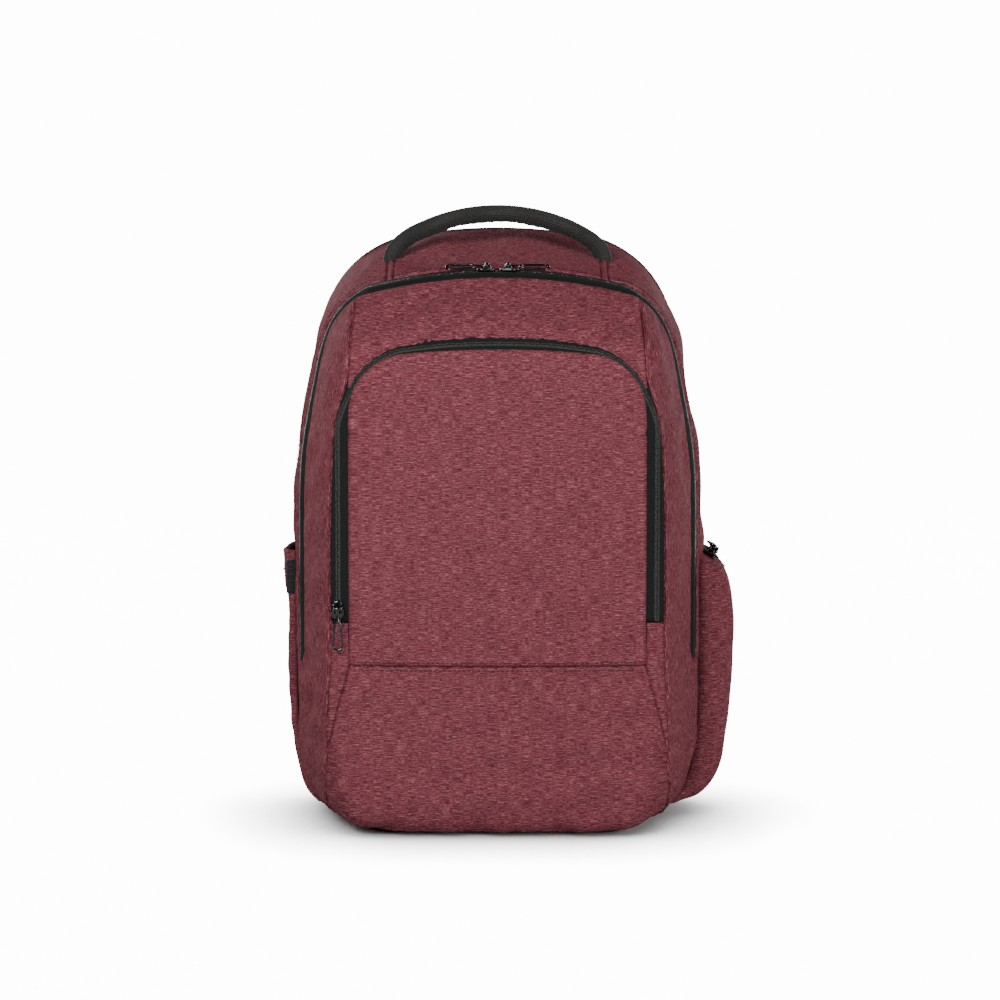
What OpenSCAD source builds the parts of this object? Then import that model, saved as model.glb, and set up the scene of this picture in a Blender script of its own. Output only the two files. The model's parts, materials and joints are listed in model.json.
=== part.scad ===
// Travel backpack: a rear compartment that stands on a base panel, and a front
// compartment that folds forward on it. The frame has +Z up, the front towards
// -Y, and its origin at the middle of the base panel's underside. Millimetres.

/* [Body] */
// Width across the main zip
body_w = 300; // [294:2:306]
// Height of the rear edge of the top
body_h = 455; // [450:1:462]
// Height of the main zip at the middle of the top
zip_h = 422; // [420:1:426]
// Depth of the rear compartment, from the main zip to the back panel
main_depth = 95; // [95:1:104]
// Depth of the front compartment, from its face to the main zip
front_depth = 64; // [62:1:68]
// Thickness of a padded fabric wall
wall = 3; // [2.5:0.5:3.5]
// Thickness of the base panel
base_t = 3; // [2:0.5:4]

/* [Openings] */
// How far the front compartment folds forward, in degrees
lid_angle = 45; // [30:5:45]
// Height of the ends of the main zip, where the front folds
fold_h = 125; // [120:1:128]
// Width of the front flap
flap_w = 220; // [210:2:222]
// Height of the top of the front flap
flap_top = 365; // [355:1:366]
// Height of the lower ends of the flap's zip
zip_end = 164; // [160:1:166]

/* [Side pockets] */
// How far the zipped right pocket stands out of the side
right_bulge = 28; // [24:1:34]
// How far the open left pocket stands out of the side
left_bulge = 8; // [7.5:0.5:12]
// Height of the side pockets
pocket_h = 212; // [200:1:220]

/* [Carrying] */
// Half of the distance between the handle's ends
handle_half = 82; // [78:1:84]
// Height of the middle of the grip
handle_top = 467; // [465:1:472]
// Width of a shoulder strap at the shoulder
strap_w = 62; // [56:1:66]
// Thickness of a shoulder strap
strap_t = 12; // [10:0.5:13]
// Thickness of the back padding
pad_t = 10; // [8:0.5:10.5]

/* [Zip sliders] */
// Length of a pull loop, from its pivot
pull_l = 31; // [27:1:32]
// Width of a pull loop
pull_w = 8.8; // [8:0.2:9.2]

/* [Hidden] */

red = [0.48, 0.25, 0.29];
black = [0.12, 0.12, 0.12];
grey = [0.25, 0.25, 0.26];

y_zip = -20;                     // plane of the main zip
y_back = y_zip + main_depth;     // outer face of the back panel
y_face = y_zip - front_depth;    // front wall of the front compartment
mid_h = 240;                     // height at which the body is widest
gap = 0.3;                       // clearance between neighbouring pieces
z_low = base_t + gap;            // underside of the fabric body
tape_half = 7;                   // width of one half of a zip tape
tape_t = 1.2;                    // thickness of a zip tape
coil_w = 1.6;                    // width of one half of a zip coil
coil_t = 0.7;                    // height of a zip coil above its tape
y_fold = y_zip - 10;             // hinge line of the front compartment
flap_low = zip_end + 18;         // hinge line of the flap, just above its slider
crown_r = 400;                   // radius of the top, along which the main sliders run
knots = [-84, -82.5, -80, -75, -68, -58, -46, -33, -20, -8, 8, 28, 48, 64, 72];
ring_n = 72;                     // points round an outline

// Outline of the body: a superellipse in two halves, joined at mid_h, whose top is
// an arc of a circle.
function signed_pow(v, p) = sign(v) * pow(abs(v), p);
function outline(y, half_w, top, low, n_top, n_low, inset) =
    [for (i = [0 : ring_n - 1])
        let (
            a = 360 * i / ring_n,
            up = sin(a) >= 0,
            n = up ? n_top : n_low,
            b = (up ? top - mid_h : mid_h - low) - inset,
            x = signed_pow(cos(a), 2 / n) * (half_w - inset),
            crown = top - crown_r + sqrt(pow(crown_r - inset, 2) - x * x))
        [x, y, min(crown, mid_h + signed_pow(sin(a), 2 / n) * b)]];

// Outline at depth y, set in from the outer surface by inset.
function body_ring(y, inset) = y >= y_zip
    ? let (s = (y - y_zip) / main_depth)
        outline(y, body_w / 2 + 6 * sin(125 * s), zip_h + (body_h - zip_h) * s,
                z_low, 3.6 - 0.6 * s, 6.5, inset)
    : let (u = (y_zip - y) / front_depth)
        outline(y, body_w / 2 - 27 * pow(u, 2.2), zip_h - 44 * pow(u, 1.5),
                z_low + 7 * pow(u, 3), 3.6 + 3.4 * u * u, 6.5, inset);

function unit(v) = v / norm(v);
function bezier(p, t) = pow(1 - t, 3) * p[0] + 3 * t * pow(1 - t, 2) * p[1]
    + 3 * t * t * (1 - t) * p[2] + pow(t, 3) * p[3];
function mirrored(points, side) = [for (p = points) [p[0] * side, p[1], p[2]]];

// Solid skin over rings of equal length. A closed one joins its last ring to its first.
module skin(rings, closed = false) {
    n = len(rings[0]);
    m = len(rings);
    points = [for (r = rings) each r];
    last = closed ? m - 1 : m - 2;
    sides = [for (i = [0 : last], j = [0 : n - 1])
        let (
            a = i * n + j,
            b = i * n + (j + 1) % n,
            c = ((i + 1) % m) * n + (j + 1) % n,
            d = ((i + 1) % m) * n + j)
        each [[a, b, c], [a, c, d]]];
    ends = closed ? [] : [[for (j = [n - 1 : -1 : 0]) j],
                          [for (j = [0 : n - 1]) (m - 1) * n + j]];
    polyhedron(points, concat(sides, ends), convexity = 6);
}

// The body between two depths, set in from its outer surface.
module body_solid(y0, y1, inset = 0) {
    ys = concat([y0], [for (k = knots) if (k > y0 + 0.5 && k < y1 - 0.5) k], [y1]);
    skin([for (y = ys) body_ring(y, inset)]);
}

// A hollow band of the body.
module body_band(y0, y1, inset, thickness) {
    difference() {
        body_solid(y0, y1, inset);
        body_solid(y0 - 1, y1 + 1, inset + thickness);
    }
}

// Everything above a height.
module above(z) {
    translate([-250, -150, z]) cube([500, 300, 500]);
}

// A strip swept along points, with its width along the world's X as far as it can be.
module strip(points, widths, thickness, corner = 1) {
    last = len(points) - 1;
    profile = corner == 1
        ? [[1, 1], [-1, 1], [-1, -1], [1, -1]]
        : [[1, corner], [0.86, 1], [-0.86, 1], [-1, corner],
           [-1, -corner], [-0.86, -1], [0.86, -1], [1, -corner]];
    skin([for (i = [0 : last])
        let (
            along = unit(points[min(i + 1, last)] - points[max(i - 1, 0)]),
            across = unit([1, 0, 0] - along[0] * along),
            out = cross(along, across),
            w = widths[0] + (widths[1] - widths[0]) * i / last)
        [for (q = profile) points[i] + across * q[0] * w / 2 - out * q[1] * thickness / 2]]);
}

// 2D arch in X and Z: the flap's outline, grown by reach, down to the height low.
module arch(reach, low) {
    half_w = flap_w / 2 + reach;
    top = flap_top + reach;
    corner = 36 + reach;
    crown = 720 + reach;
    intersection() {
        union() {
            translate([-half_w, low]) square([2 * half_w, top - corner - low]);
            translate([corner - half_w, low]) square([2 * (half_w - corner), top - low]);
            for (side = [-1, 1])
                translate([side * (half_w - corner), top - corner]) circle(corner, $fn = 64);
        }
        translate([0, top - crown]) circle(crown, $fn = 200);
    }
}

// Extrudes a 2D shape drawn in X and Z from depth y0 to y1.
module facing_front(y0, y1) {
    translate([0, y1, 0]) rotate([90, 0, 0]) linear_extrude(y1 - y0) children();
}

module rounded(x, y, r) {
    translate([r, 0]) square([x - 2 * r, y]);
    translate([0, r]) square([x, y - 2 * r]);
    for (i = [r, x - r], j = [r, y - r])
        translate([i, j]) circle(r, $fn = 32);
}

// Base and back

module base_panel() {
    half_w = 104;
    front = y_face + 14;
    depth = y_back - 10 - front;
    color(black) translate([-half_w, front, 0])
        linear_extrude(base_t) rounded(2 * half_w, depth, 18);
}

module rear_gusset() {
    color(red) body_band(y_zip + tape_half, y_back, 0, wall);
}

module back_panel() {
    color(black) body_solid(y_back - 7, y_back, wall + gap);
}

module back_stiffener() {
    color(grey) body_solid(y_back - 9, y_back - 7 - gap, 14);
}

module rear_piping() {
    r = 2.2;
    path = body_ring(y_back, 0);
    rings = [for (i = [0 : ring_n - 1])
        let (
            along = unit(path[(i + 1) % ring_n] - path[(i + ring_n - 1) % ring_n]),
            out = cross([0, 1, 0], along),
            c = path[i] + [0, r + gap, 0])
        [for (k = [0 : 7]) c + r * (cos(45 * k) * out + sin(45 * k) * [0, 1, 0])]];
    color(black) skin(rings, closed = true);
}

// Front compartment

// Side view of what lies below the fold, with a top that slopes down to the front.
module below_fold(top) {
    rotate([90, 0, 90]) translate([0, 0, -250]) linear_extrude(500)
        polygon([[y_fold - 100, -10], [y_back, -10], [y_back, top], [y_fold, top],
                 [y_fold - 100, top - 100 * tan(lid_angle)]]);
}

module lower_front_panel() {
    color(red) difference() {
        intersection() {
            body_solid(y_face, y_zip + tape_half - gap);
            below_fold(fold_h - 3);
        }
        body_solid(y_face + wall, y_zip + tape_half + 1, wall);
    }
}

module fold_gusset() {
    color(red) difference() {
        intersection() {
            body_solid(y_face, y_fold - 2);
            translate([-250, -150, 0]) cube([500, 300, fold_h + 3 - gap]);
        }
        body_solid(y_face + wall, y_fold, wall);
        below_fold(fold_h - 3 + gap * 1.5);
    }
}

module front_compartment() {
    color(red) difference() {
        intersection() {
            body_solid(y_face, y_zip - tape_half);
            above(fold_h + 3);
        }
        body_solid(y_face + wall, y_zip, wall);
        facing_front(y_face - 2, y_face + wall + 2) arch(1, flap_low + 1);
    }
}

module front_divider() {
    color(grey) intersection() {
        body_solid(y_zip - 6.5, y_zip - 3.5, 1 + tape_t + gap);
        above(fold_h + 3);
    }
}

module organizer_pocket() {
    y = y_zip - 6.5 - gap;
    low = fold_h + 12;
    color(grey) difference() {
        translate([-90, y - 10, low]) cube([180, 10, 125]);
        translate([-88, y - 8, low + 2]) cube([176, 9, 125]);
    }
}

// Main zip

module zip_band(y0, y1, inset, thickness, low) {
    color(black) intersection() {
        body_band(y0, y1, inset, thickness);
        above(low);
    }
}

module main_zip_tape_rear() {
    zip_band(y_zip + gap / 2, y_zip + tape_half - gap, 1, tape_t, fold_h - 3 + gap);
}

module main_zip_coil_rear() {
    zip_band(y_zip + gap / 2, y_zip + coil_w, 1 - coil_t, coil_t - 0.05, fold_h + 2);
}

module main_zip_tape_front() {
    zip_band(y_zip - tape_half + gap, y_zip - gap / 2, 1, tape_t, fold_h + 3);
}

module main_zip_coil_front() {
    zip_band(y_zip - coil_w, y_zip - gap / 2, 1 - coil_t, coil_t - 0.05, fold_h + 3);
}

// Flap and its zip

flap_split = 8;                  // reach of the line where the zip's halves meet
flap_outer = flap_split + 4.6;   // reach of the tape's outer edge, and of its inner edge
flap_inner = flap_split - 11.4;
y_tape = y_face - gap;           // back face of the flap's zip tape

// A band of the arch between two reaches, at the depth of the tape, lifted off it.
module arch_band(outer, inner, lift, thickness, low, high = 500) {
    y = y_tape - lift;
    color(black) facing_front(y - thickness, y) intersection() {
        difference() {
            arch(outer, low);
            arch(inner, low - 1);
        }
        translate([-250, low]) square([500, high - low]);
    }
}

// The outer half, with the short ends of the inner half that lie below the hinge line.
module flap_zip_tape_outer() {
    low = zip_end + 0.5;
    arch_band(flap_outer, flap_split + gap / 2, 0, tape_t, low);
    arch_band(flap_split - gap / 2, flap_inner, 0, tape_t, low, flap_low - 0.5);
}

module flap_zip_coil_outer() {
    lift = tape_t + 0.05;
    low = zip_end + 0.5;
    arch_band(flap_split + coil_w, flap_split + gap / 2, lift, coil_t, low);
    arch_band(flap_split - gap / 2, flap_split - coil_w, lift, coil_t, low, flap_low - 0.5);
}

module flap_zip_tape_inner() {
    arch_band(flap_split - gap / 2, flap_inner, 0, tape_t, flap_low + 0.5);
}

module flap_zip_coil_inner() {
    arch_band(flap_split - gap / 2, flap_split - coil_w, tape_t + 0.05, coil_t, flap_low + 0.5);
}

module front_flap() {
    y = y_tape - tape_t - gap;
    color(red) facing_front(y - 4, y) arch(0, flap_low + 0.5);
}

// Zip slider and pull, lying on the plane z = 0 with the travel along X

pin_h = 3.8;
pin_r = 1;
pull_t = 1.8;

module slider_body() {
    color(black) {
        linear_extrude(1.6) {
            translate([2, 0]) circle(4.8, $fn = 40);
            translate([-4, 0]) circle(3.4, $fn = 40);
            polygon([[2, 4.8], [-4, 3.4], [-4, -3.4], [2, -4.8]]);
        }
        for (side = [-1, 1])
            translate([-3, side * 2.8 - 0.6, 1.2]) cube([4, 1.2, pin_h]);
        translate([-1, 0, pin_h]) rotate([90, 0, 0])
            cylinder(h = 5, r = pin_r, center = true, $fn = 32);
    }
}

// A pull loop on the slider's pin, its far end let down by droop degrees.
module pull_loop(droop = 5) {
    r_end = pull_w / 2;
    far = pull_l - r_end;
    color(black) translate([-1, 0, pin_h]) rotate([0, droop, 0]) {
        rotate([90, 0, 0]) difference() {
            cylinder(h = 3.6, r = 1.9, center = true, $fn = 40);
            cylinder(h = 5, r = pin_r + 0.15, center = true, $fn = 32);
        }
        translate([1.6, -1.3, -pull_t / 2]) cube([8.4, 2.6, pull_t]);
        translate([0, 0, -pull_t / 2]) linear_extrude(pull_t) difference() {
            loop_outline(far, r_end, 3);
            loop_outline(far, r_end - 2, 1.2);
        }
    }
}

module loop_outline(far, r_far, r_near) {
    near = 10;
    translate([far, 0]) circle(r_far, $fn = 40);
    translate([near, 0]) circle(r_near, $fn = 32);
    polygon([[near, r_near], [far, r_far], [far, -r_far], [near, -r_near]]);
}

slider_x = 9;                    // rest place of a main slider, from the middle
slider_lift = 0.4;               // clearance of a slider over its coil
main_lift = 1.2;                 // the same on the main zip, whose front half swings past

module on_main_zip(side) {
    translate([side * slider_x, y_zip, zip_h - 1 + coil_t + main_lift])
        rotate([4, 0, 0]) rotate([0, 0, side > 0 ? 0 : 180]) children();
}

module main_slider_left() { on_main_zip(-1) slider_body(); }
module main_pull_left() { on_main_zip(-1) pull_loop(); }
module main_slider_right() { on_main_zip(1) slider_body(); }
module main_pull_right() { on_main_zip(1) pull_loop(); }

module on_flap_zip() {
    translate([-flap_w / 2 - flap_split, y_tape - tape_t - coil_t - slider_lift, zip_end + 9])
        rotate([90, 0, 0]) rotate([0, 0, -90]) children();
}

module flap_slider() { on_flap_zip() slider_body(); }
module flap_pull() { on_flap_zip() pull_loop(droop = 0); }

// Side pockets

// A pocket's outer form, from the body out to x = reach. Its top slopes down by drop.
module pocket_form(reach, front, rear, low, top, drop) {
    soft = min(12, (reach - body_w / 2) * 0.6);
    hull() {
        translate([body_w / 2 - 8, front, low]) cube([4, rear - front, top - low]);
        translate([reach - 1, front + soft, low + 2 * soft])
            cube([1, rear - front - 2 * soft, top - drop - low - 2 * soft]);
        translate([reach - soft, front + soft / 3, low + soft])
            cube([1, rear - front - soft / 1.5, top - drop * 0.5 - low - soft]);
    }
}

pocket_front = y_zip + 14;       // front edge of both side pockets
pocket_rear = y_back - 12;
pocket_low = 14;
side_x = body_w / 2 + 6;         // widest place of the body's side
right_x = side_x + right_bulge;
left_x = side_x + left_bulge;
top_drop = 14;                   // how far the right pocket's top slopes down
slot_x = side_x + 9;             // middle of the right pocket's zip
slot_z = pocket_h - 7.5;         // height of that zip's tape
slot_tilt = 27;                  // slope of that tape

module right_pocket() {
    t = 2.5;
    color(red) difference() {
        pocket_form(right_x, pocket_front, pocket_rear, pocket_low, pocket_h, top_drop);
        pocket_form(right_x - t, pocket_front + t, pocket_rear - t, pocket_low + t,
                    pocket_h - t * 1.2, top_drop);
        body_solid(y_zip, y_back, -gap);
        translate([slot_x, (pocket_front + pocket_rear) / 2, slot_z])
            rotate([0, slot_tilt, 0])
                cube([13, pocket_rear - pocket_front - 8, 16], center = true);
    }
}

module on_pocket_zip(y) {
    translate([slot_x, y, slot_z]) rotate([0, slot_tilt, 0]) children();
}

module pocket_strips(x0, x1, z0, z1) {
    length = pocket_rear - pocket_front - 9;
    color(black) on_pocket_zip((pocket_front + pocket_rear) / 2)
        for (side = [-1, 1])
            translate([side > 0 ? x0 : -x1, -length / 2, z0]) cube([x1 - x0, length, z1 - z0]);
}

module right_pocket_tape() { pocket_strips(0.15, 6.2, 0, tape_t); }
module right_pocket_coil() {
    pocket_strips(0.15, coil_w, tape_t + 0.05, tape_t + 0.05 + coil_t);
}

module right_pocket_slider() {
    on_pocket_zip(pocket_front + 13) translate([0, 0, tape_t + coil_t + slider_lift])
        rotate([0, 0, 90]) slider_body();
}

module right_pocket_pull() {
    on_pocket_zip(pocket_front + 13) translate([0, 0, tape_t + coil_t + slider_lift])
        rotate([0, 0, 90]) pull_loop(droop = 0);
}

module left_pocket() {
    t = 2;
    color(red) mirror([1, 0, 0]) difference() {
        pocket_form(left_x, pocket_front, pocket_rear, pocket_low, pocket_h, 1);
        pocket_form(left_x - t, pocket_front + t, pocket_rear - t, pocket_low + t,
                    pocket_h + 20, 1);
        body_solid(y_zip, y_back, -gap);
    }
}

module left_pocket_elastic() {
    band_h = 25;
    color(black) translate([1 - left_x, pocket_front - 1.5 - gap, pocket_h - 4 - band_h])
        cube([left_x - 1 - body_w / 2 - 2.5, 1.5, band_h]);
}

// Inside of the main compartment

sleeve_y = y_back - 31;          // front face of the laptop sleeve
sleeve_top = 330;

module lower_divider() {
    color(grey) intersection() {
        body_solid(y_zip - 6.5, y_zip - 3.5, wall + gap);
        translate([-250, -150, 0]) cube([500, 300, fold_h - 6]);
    }
}

module laptop_sleeve() {
    half_w = 124;
    depth = 21;
    color(grey) difference() {
        translate([-half_w, sleeve_y, 22]) cube([2 * half_w, depth, sleeve_top - 22]);
        translate([-half_w + 3, sleeve_y + 4, 26])
            cube([2 * half_w - 6, depth, sleeve_top]);
    }
}

module laptop_strap() {
    color(black) {
        translate([-12.5, sleeve_y - 2.5, sleeve_top + 4]) cube([25, 24, 2.2]);
        translate([-12.5, sleeve_y - 2.5, sleeve_top - 30]) cube([25, 2, 35]);
    }
}

// Handle

handle_end = 440;                // height of the grip's ends
sagitta = handle_top - handle_end;
handle_r = (handle_half * handle_half + sagitta * sagitta) / (2 * sagitta);
handle_y = y_zip + 45;

module handle_arc(half_angle) {
    translate([0, handle_y, handle_top - handle_r]) rotate([90, 0, 0])
        rotate([0, 0, 90 - half_angle])
            rotate_extrude(angle = 2 * half_angle, $fn = 180)
                translate([handle_r, 0]) children();
}

handle_sweep = asin(handle_half / handle_r);

module handle_webbing() {
    color(black) handle_arc(handle_sweep) difference() {
        translate([-6.8, -4.5]) rounded(13.6, 9, 3);
        circle(2.6, $fn = 32);
    }
}

module handle_core() {
    color(grey) handle_arc(handle_sweep - 6) circle(2.4, $fn = 32);
}

// Harness

pad_y = y_back + gap;
pivot_z = 430;                   // height of the shoulder straps' upper seam

module back_pad(low, top, x0, x1) {
    color(black) facing_front(pad_y, pad_y + pad_t) translate([x0, low])
        rounded(x1 - x0, top - low, 14);
}

module back_pad_left() { back_pad(216, 392, -112, -12); }
module back_pad_right() { back_pad(216, 392, 12, 112); }
module lumbar_pad() { back_pad(36, 120, -112, 112); }

module strap_yoke() {
    color(black) facing_front(pad_y, pad_y + 8) translate([-76, 400]) rounded(152, 34, 8);
}

module trolley_strap() {
    low = 130;
    y0 = pad_y;
    y1 = pad_y + pad_t + 1;
    color(red) translate([0, 0, low]) linear_extrude(78)
        polygon([[-132, y0], [-112, y1], [112, y1], [132, y0], [132, y0 + 2],
                 [112, y1 + 2], [-112, y1 + 2], [-132, y0 + 2]]);
}

strap_curve = [[44, y_back + 19, 422], [48, y_back + 60, 380],
               [92, y_back + 52, 250], [98, y_back + 24, 152]];
lock_z = 144;                    // pivot of a ladder lock, on the strap's end
lock_y = y_back + 24;
lock_x = 98;

module shoulder_strap(side) {
    points = [for (i = [0 : 22]) bezier(mirrored(strap_curve, side), i / 22)];
    color(black) {
        strip(points, [strap_w, 46], strap_t, 0.55);
        translate([side * lock_x, lock_y, lock_z]) rotate([0, 90, 0])
            cylinder(h = 26, r = 1.6, center = true, $fn = 32);
        for (i = [-1, 1])
            translate([side * lock_x + i * 14.5 - 1.5, lock_y - 1.6, lock_z - 1.6])
                cube([3, 3.2, 10]);
    }
}

// Ladder lock: an eye on the strap's bar, and two slots for the webbing.
module ladder_lock(side) {
    color(black) translate([side * lock_x, lock_y, lock_z]) {
        rotate([0, 90, 0]) difference() {
            cylinder(h = 25.6, r = 3.2, center = true, $fn = 40);
            cylinder(h = 30, r = 1.7, center = true, $fn = 32);
        }
        translate([0, 1.6, 0]) rotate([90, 0, 0]) linear_extrude(3.2) difference() {
            translate([-16, -30]) rounded(32, 27, 3);
            translate([-12.8, -14]) square([25.6, 5]);
            translate([-12.8, -26.5]) square([25.6, 7]);
        }
    }
}

// The lower webbing runs from its tab up through the lock, and its tail hangs behind.
module strap_webbing(side) {
    lower = [[131, y_back + 5, 56], [124, y_back + 13, 88], [105, y_back + 19.5, 112]];
    tail = [[98, y_back + 28.5, 120], [97, y_back + 32, 90], [97, y_back + 33, 45],
            [96, y_back + 32, 20]];
    color(black) {
        strip(mirrored(lower, side), [24, 24], 1.6);
        strip(mirrored(tail, side), [24, 24], 1.6);
    }
}

module strap_tab(side) {
    color(black) facing_front(pad_y, pad_y + 2.4)
        polygon([for (p = [[108, 34], [132, 34], [141, 50], [141, 68], [116, 62]])
            [side * p[0], p[1]]]);
}

module shoulder_strap_left() { shoulder_strap(-1); }
module shoulder_strap_right() { shoulder_strap(1); }
module ladder_lock_left() { ladder_lock(-1); }
module ladder_lock_right() { ladder_lock(1); }
module strap_webbing_left() { strap_webbing(-1); }
module strap_webbing_right() { strap_webbing(1); }
module strap_tab_left() { strap_tab(-1); }
module strap_tab_right() { strap_tab(1); }

base_panel();
rear_gusset();
back_panel();
back_stiffener();
rear_piping();
lower_front_panel();
fold_gusset();
lower_divider();
laptop_sleeve();
laptop_strap();
main_zip_tape_rear();
main_zip_coil_rear();
main_zip_tape_front();
main_zip_coil_front();
front_compartment();
front_divider();
organizer_pocket();
flap_zip_tape_outer();
flap_zip_coil_outer();
front_flap();
flap_zip_tape_inner();
flap_zip_coil_inner();
main_slider_left();
main_pull_left();
main_slider_right();
main_pull_right();
flap_slider();
flap_pull();
right_pocket();
right_pocket_tape();
right_pocket_coil();
right_pocket_slider();
right_pocket_pull();
left_pocket();
left_pocket_elastic();
handle_webbing();
handle_core();
strap_yoke();
back_pad_left();
back_pad_right();
lumbar_pad();
trolley_strap();
shoulder_strap_left();
shoulder_strap_right();
ladder_lock_left();
ladder_lock_right();
strap_webbing_left();
strap_webbing_right();
strap_tab_left();
strap_tab_right();
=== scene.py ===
"""Travel backpack in burgundy melange fabric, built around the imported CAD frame.

Shapes are worked out in millimetres in the CAD's own frame (+Z up, the front
towards -Y) and become metres where a mesh is made.
"""
import json
import math

import bmesh
import bpy
import numpy as np
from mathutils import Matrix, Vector


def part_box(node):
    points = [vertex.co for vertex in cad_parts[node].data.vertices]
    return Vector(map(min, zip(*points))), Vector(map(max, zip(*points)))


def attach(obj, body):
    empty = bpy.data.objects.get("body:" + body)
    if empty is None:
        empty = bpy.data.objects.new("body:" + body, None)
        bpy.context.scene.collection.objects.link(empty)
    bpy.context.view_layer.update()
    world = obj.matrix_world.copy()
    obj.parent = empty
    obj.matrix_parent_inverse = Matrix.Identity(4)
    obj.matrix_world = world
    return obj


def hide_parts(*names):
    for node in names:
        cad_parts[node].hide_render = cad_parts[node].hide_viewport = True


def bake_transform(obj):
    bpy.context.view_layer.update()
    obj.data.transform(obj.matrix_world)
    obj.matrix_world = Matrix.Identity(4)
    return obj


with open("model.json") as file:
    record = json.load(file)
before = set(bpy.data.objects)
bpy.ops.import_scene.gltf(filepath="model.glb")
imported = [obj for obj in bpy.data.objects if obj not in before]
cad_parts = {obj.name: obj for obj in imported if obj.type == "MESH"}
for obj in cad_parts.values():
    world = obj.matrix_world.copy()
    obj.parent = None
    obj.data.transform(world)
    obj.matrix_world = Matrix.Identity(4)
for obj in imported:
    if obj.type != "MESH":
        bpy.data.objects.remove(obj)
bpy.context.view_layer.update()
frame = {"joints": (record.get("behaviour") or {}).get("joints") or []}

MM = 0.001
TAU = 2 * math.pi
UP, FRONT, BACK = (0, 0, 1), (0, -1, 0), (0, 1, 0)


def node_box(name):
    """Lowest and highest corner of a CAD node, in millimetres."""
    lo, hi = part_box(name)
    return np.array(lo) / MM, np.array(hi) / MM


# ---------------------------------------------------------------- lines and numbers

def unit(v):
    """Vectors of length 1."""
    return v / np.linalg.norm(v, axis=-1, keepdims=True)


def clamp(x):
    """Numbers kept between 0 and 1."""
    return np.clip(x, 0, 1)


def lengths(line):
    """How far along a line each of its points lies."""
    return np.concatenate([[0], np.cumsum(np.linalg.norm(np.diff(line, axis=0), axis=1))])


def line_length(line):
    return float(np.linalg.norm(np.diff(line, axis=0), axis=1).sum())


def pick(line, s, at):
    """A line's points where s, a number for each of its points, reaches the values at."""
    return np.stack([np.interp(at, s, line[:, k]) for k in range(line.shape[1])], -1)


def resample(line, count):
    """count points evenly spaced along a line, its ends included."""
    s = lengths(line)
    return pick(line, s, np.linspace(0, s[-1], count))


def at_fraction(line, t):
    """Points of a line at the fractions t of its length."""
    s = lengths(line)
    return pick(line, s, t * s[-1])


def hermite(x, xs, ys, slopes):
    """Cubic interpolation with the slope given at each place."""
    k = np.clip(np.searchsorted(xs, x, side="right") - 1, 0, len(xs) - 2)
    h = xs[k + 1] - xs[k]
    t = (x - xs[k]) / h
    return ((1 + 2 * t) * (1 - t) ** 2 * ys[k] + t * (1 - t) ** 2 * h * slopes[k]
            + t * t * (3 - 2 * t) * ys[k + 1] + t * t * (t - 1) * h * slopes[k + 1])


def smooth_interp(x, xs, ys):
    """Monotone cubic interpolation."""
    x = np.clip(np.asarray(x, float), xs[0], xs[-1])
    slope = np.diff(ys) / np.diff(xs)
    before, after = slope[:-1], slope[1:]
    turns = before * after <= 0
    inner = np.where(turns, 0, 2 * before * after / np.where(turns, 1, before + after))
    return hermite(x, xs, ys, np.concatenate([slope[:1], inner, slope[-1:]]))


def smooth_line(points, count):
    """A smooth line through the points given."""
    points = np.asarray(points, float)
    s = lengths(points)
    at = np.linspace(0, s[-1], count)
    return np.stack([hermite(at, s, p, np.gradient(p, s)) for p in points.T], -1)


def joined(*parts):
    """Arrays that broadcast, side by side in a new last axis."""
    return np.stack(np.broadcast_arrays(*parts), -1)


def arc(cx, cz, radius, angles):
    """Points of a circle in a plane."""
    return np.stack([cx + radius * np.cos(angles), cz + radius * np.sin(angles)], -1)


def mirror(line):
    """A line in x, z on the other side of the bag."""
    return line * [-1, 1]


def both_sides(right):
    """A whole line from left to right; right is its right half, listed towards the middle."""
    return np.concatenate([mirror(right), right[::-1][1:]])


def at_depth(xz, y):
    """Points x, y, z over points x, z, all at one depth."""
    return np.stack([xz[..., 0], np.full(xz.shape[:-1], float(y)), xz[..., 1]], -1)


# ---------------------------------------------------------------- the body's outline

FACE_Y = node_box("front_compartment")[0][1]      # front wall of the front compartment
BACK_Y = node_box("back_panel")[1][1]             # outer face of the back panel
ZIP_Y = FACE_Y + 64                               # plane of the main zip
FLAP_HALF, FLAP_TOP = node_box("front_flap")[1][[0, 2]]
ZIP_END = node_box("flap_zip_tape_outer")[0][2] - 0.5
SEAM_Z = 131                                      # stitched seam across the front
MID_Z = 240
CROWN_R = 400
CORNER_R, FLAP_CROWN_R = 45, 720                  # of the flap's arch
HANDLE_HALF, HANDLE_Y = 82, ZIP_Y + 45

# Sections of the body from front to back: depth, half width, top, underside, and the
# squareness of the upper half's superellipse.
SECTIONS = np.array([
    (FACE_Y, 100, 345, 30, 6.5),
    (FACE_Y + 0.6, 112, 356, 21, 6.5),
    (FACE_Y + 2, 118.5, 364.5, 14.5, 6.5),
    (FACE_Y + 5, 123.5, 372.5, 9.5, 6.4),
    (FACE_Y + 10, 127.5, 380, 6.4, 6.2),
    (FACE_Y + 18, 132, 388, 4.8, 5.7),
    (FACE_Y + 30, 137, 397.5, 4.3, 5.0),
    (FACE_Y + 44, 142.5, 408.5, 4.1, 4.3),
    (ZIP_Y - 7, 147.5, 418, 4, 3.8),
    (ZIP_Y, 150.5, 422, 4, 3.6),
    (ZIP_Y + 7, 153, 424.6, 4, 3.55),
    (ZIP_Y + 20, 155, 429, 4, 3.55),
    (ZIP_Y + 40, 156.5, 436, 4, 3.5),
    (ZIP_Y + 68, 157, 445.7, 4, 3.4),
    (BACK_Y, 155, 455, 4, 3.25),
], float)
N_LOW = 8.3                                       # squareness of the lower half
SIDES = ((-1, "left"), (1, "right"))


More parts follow.
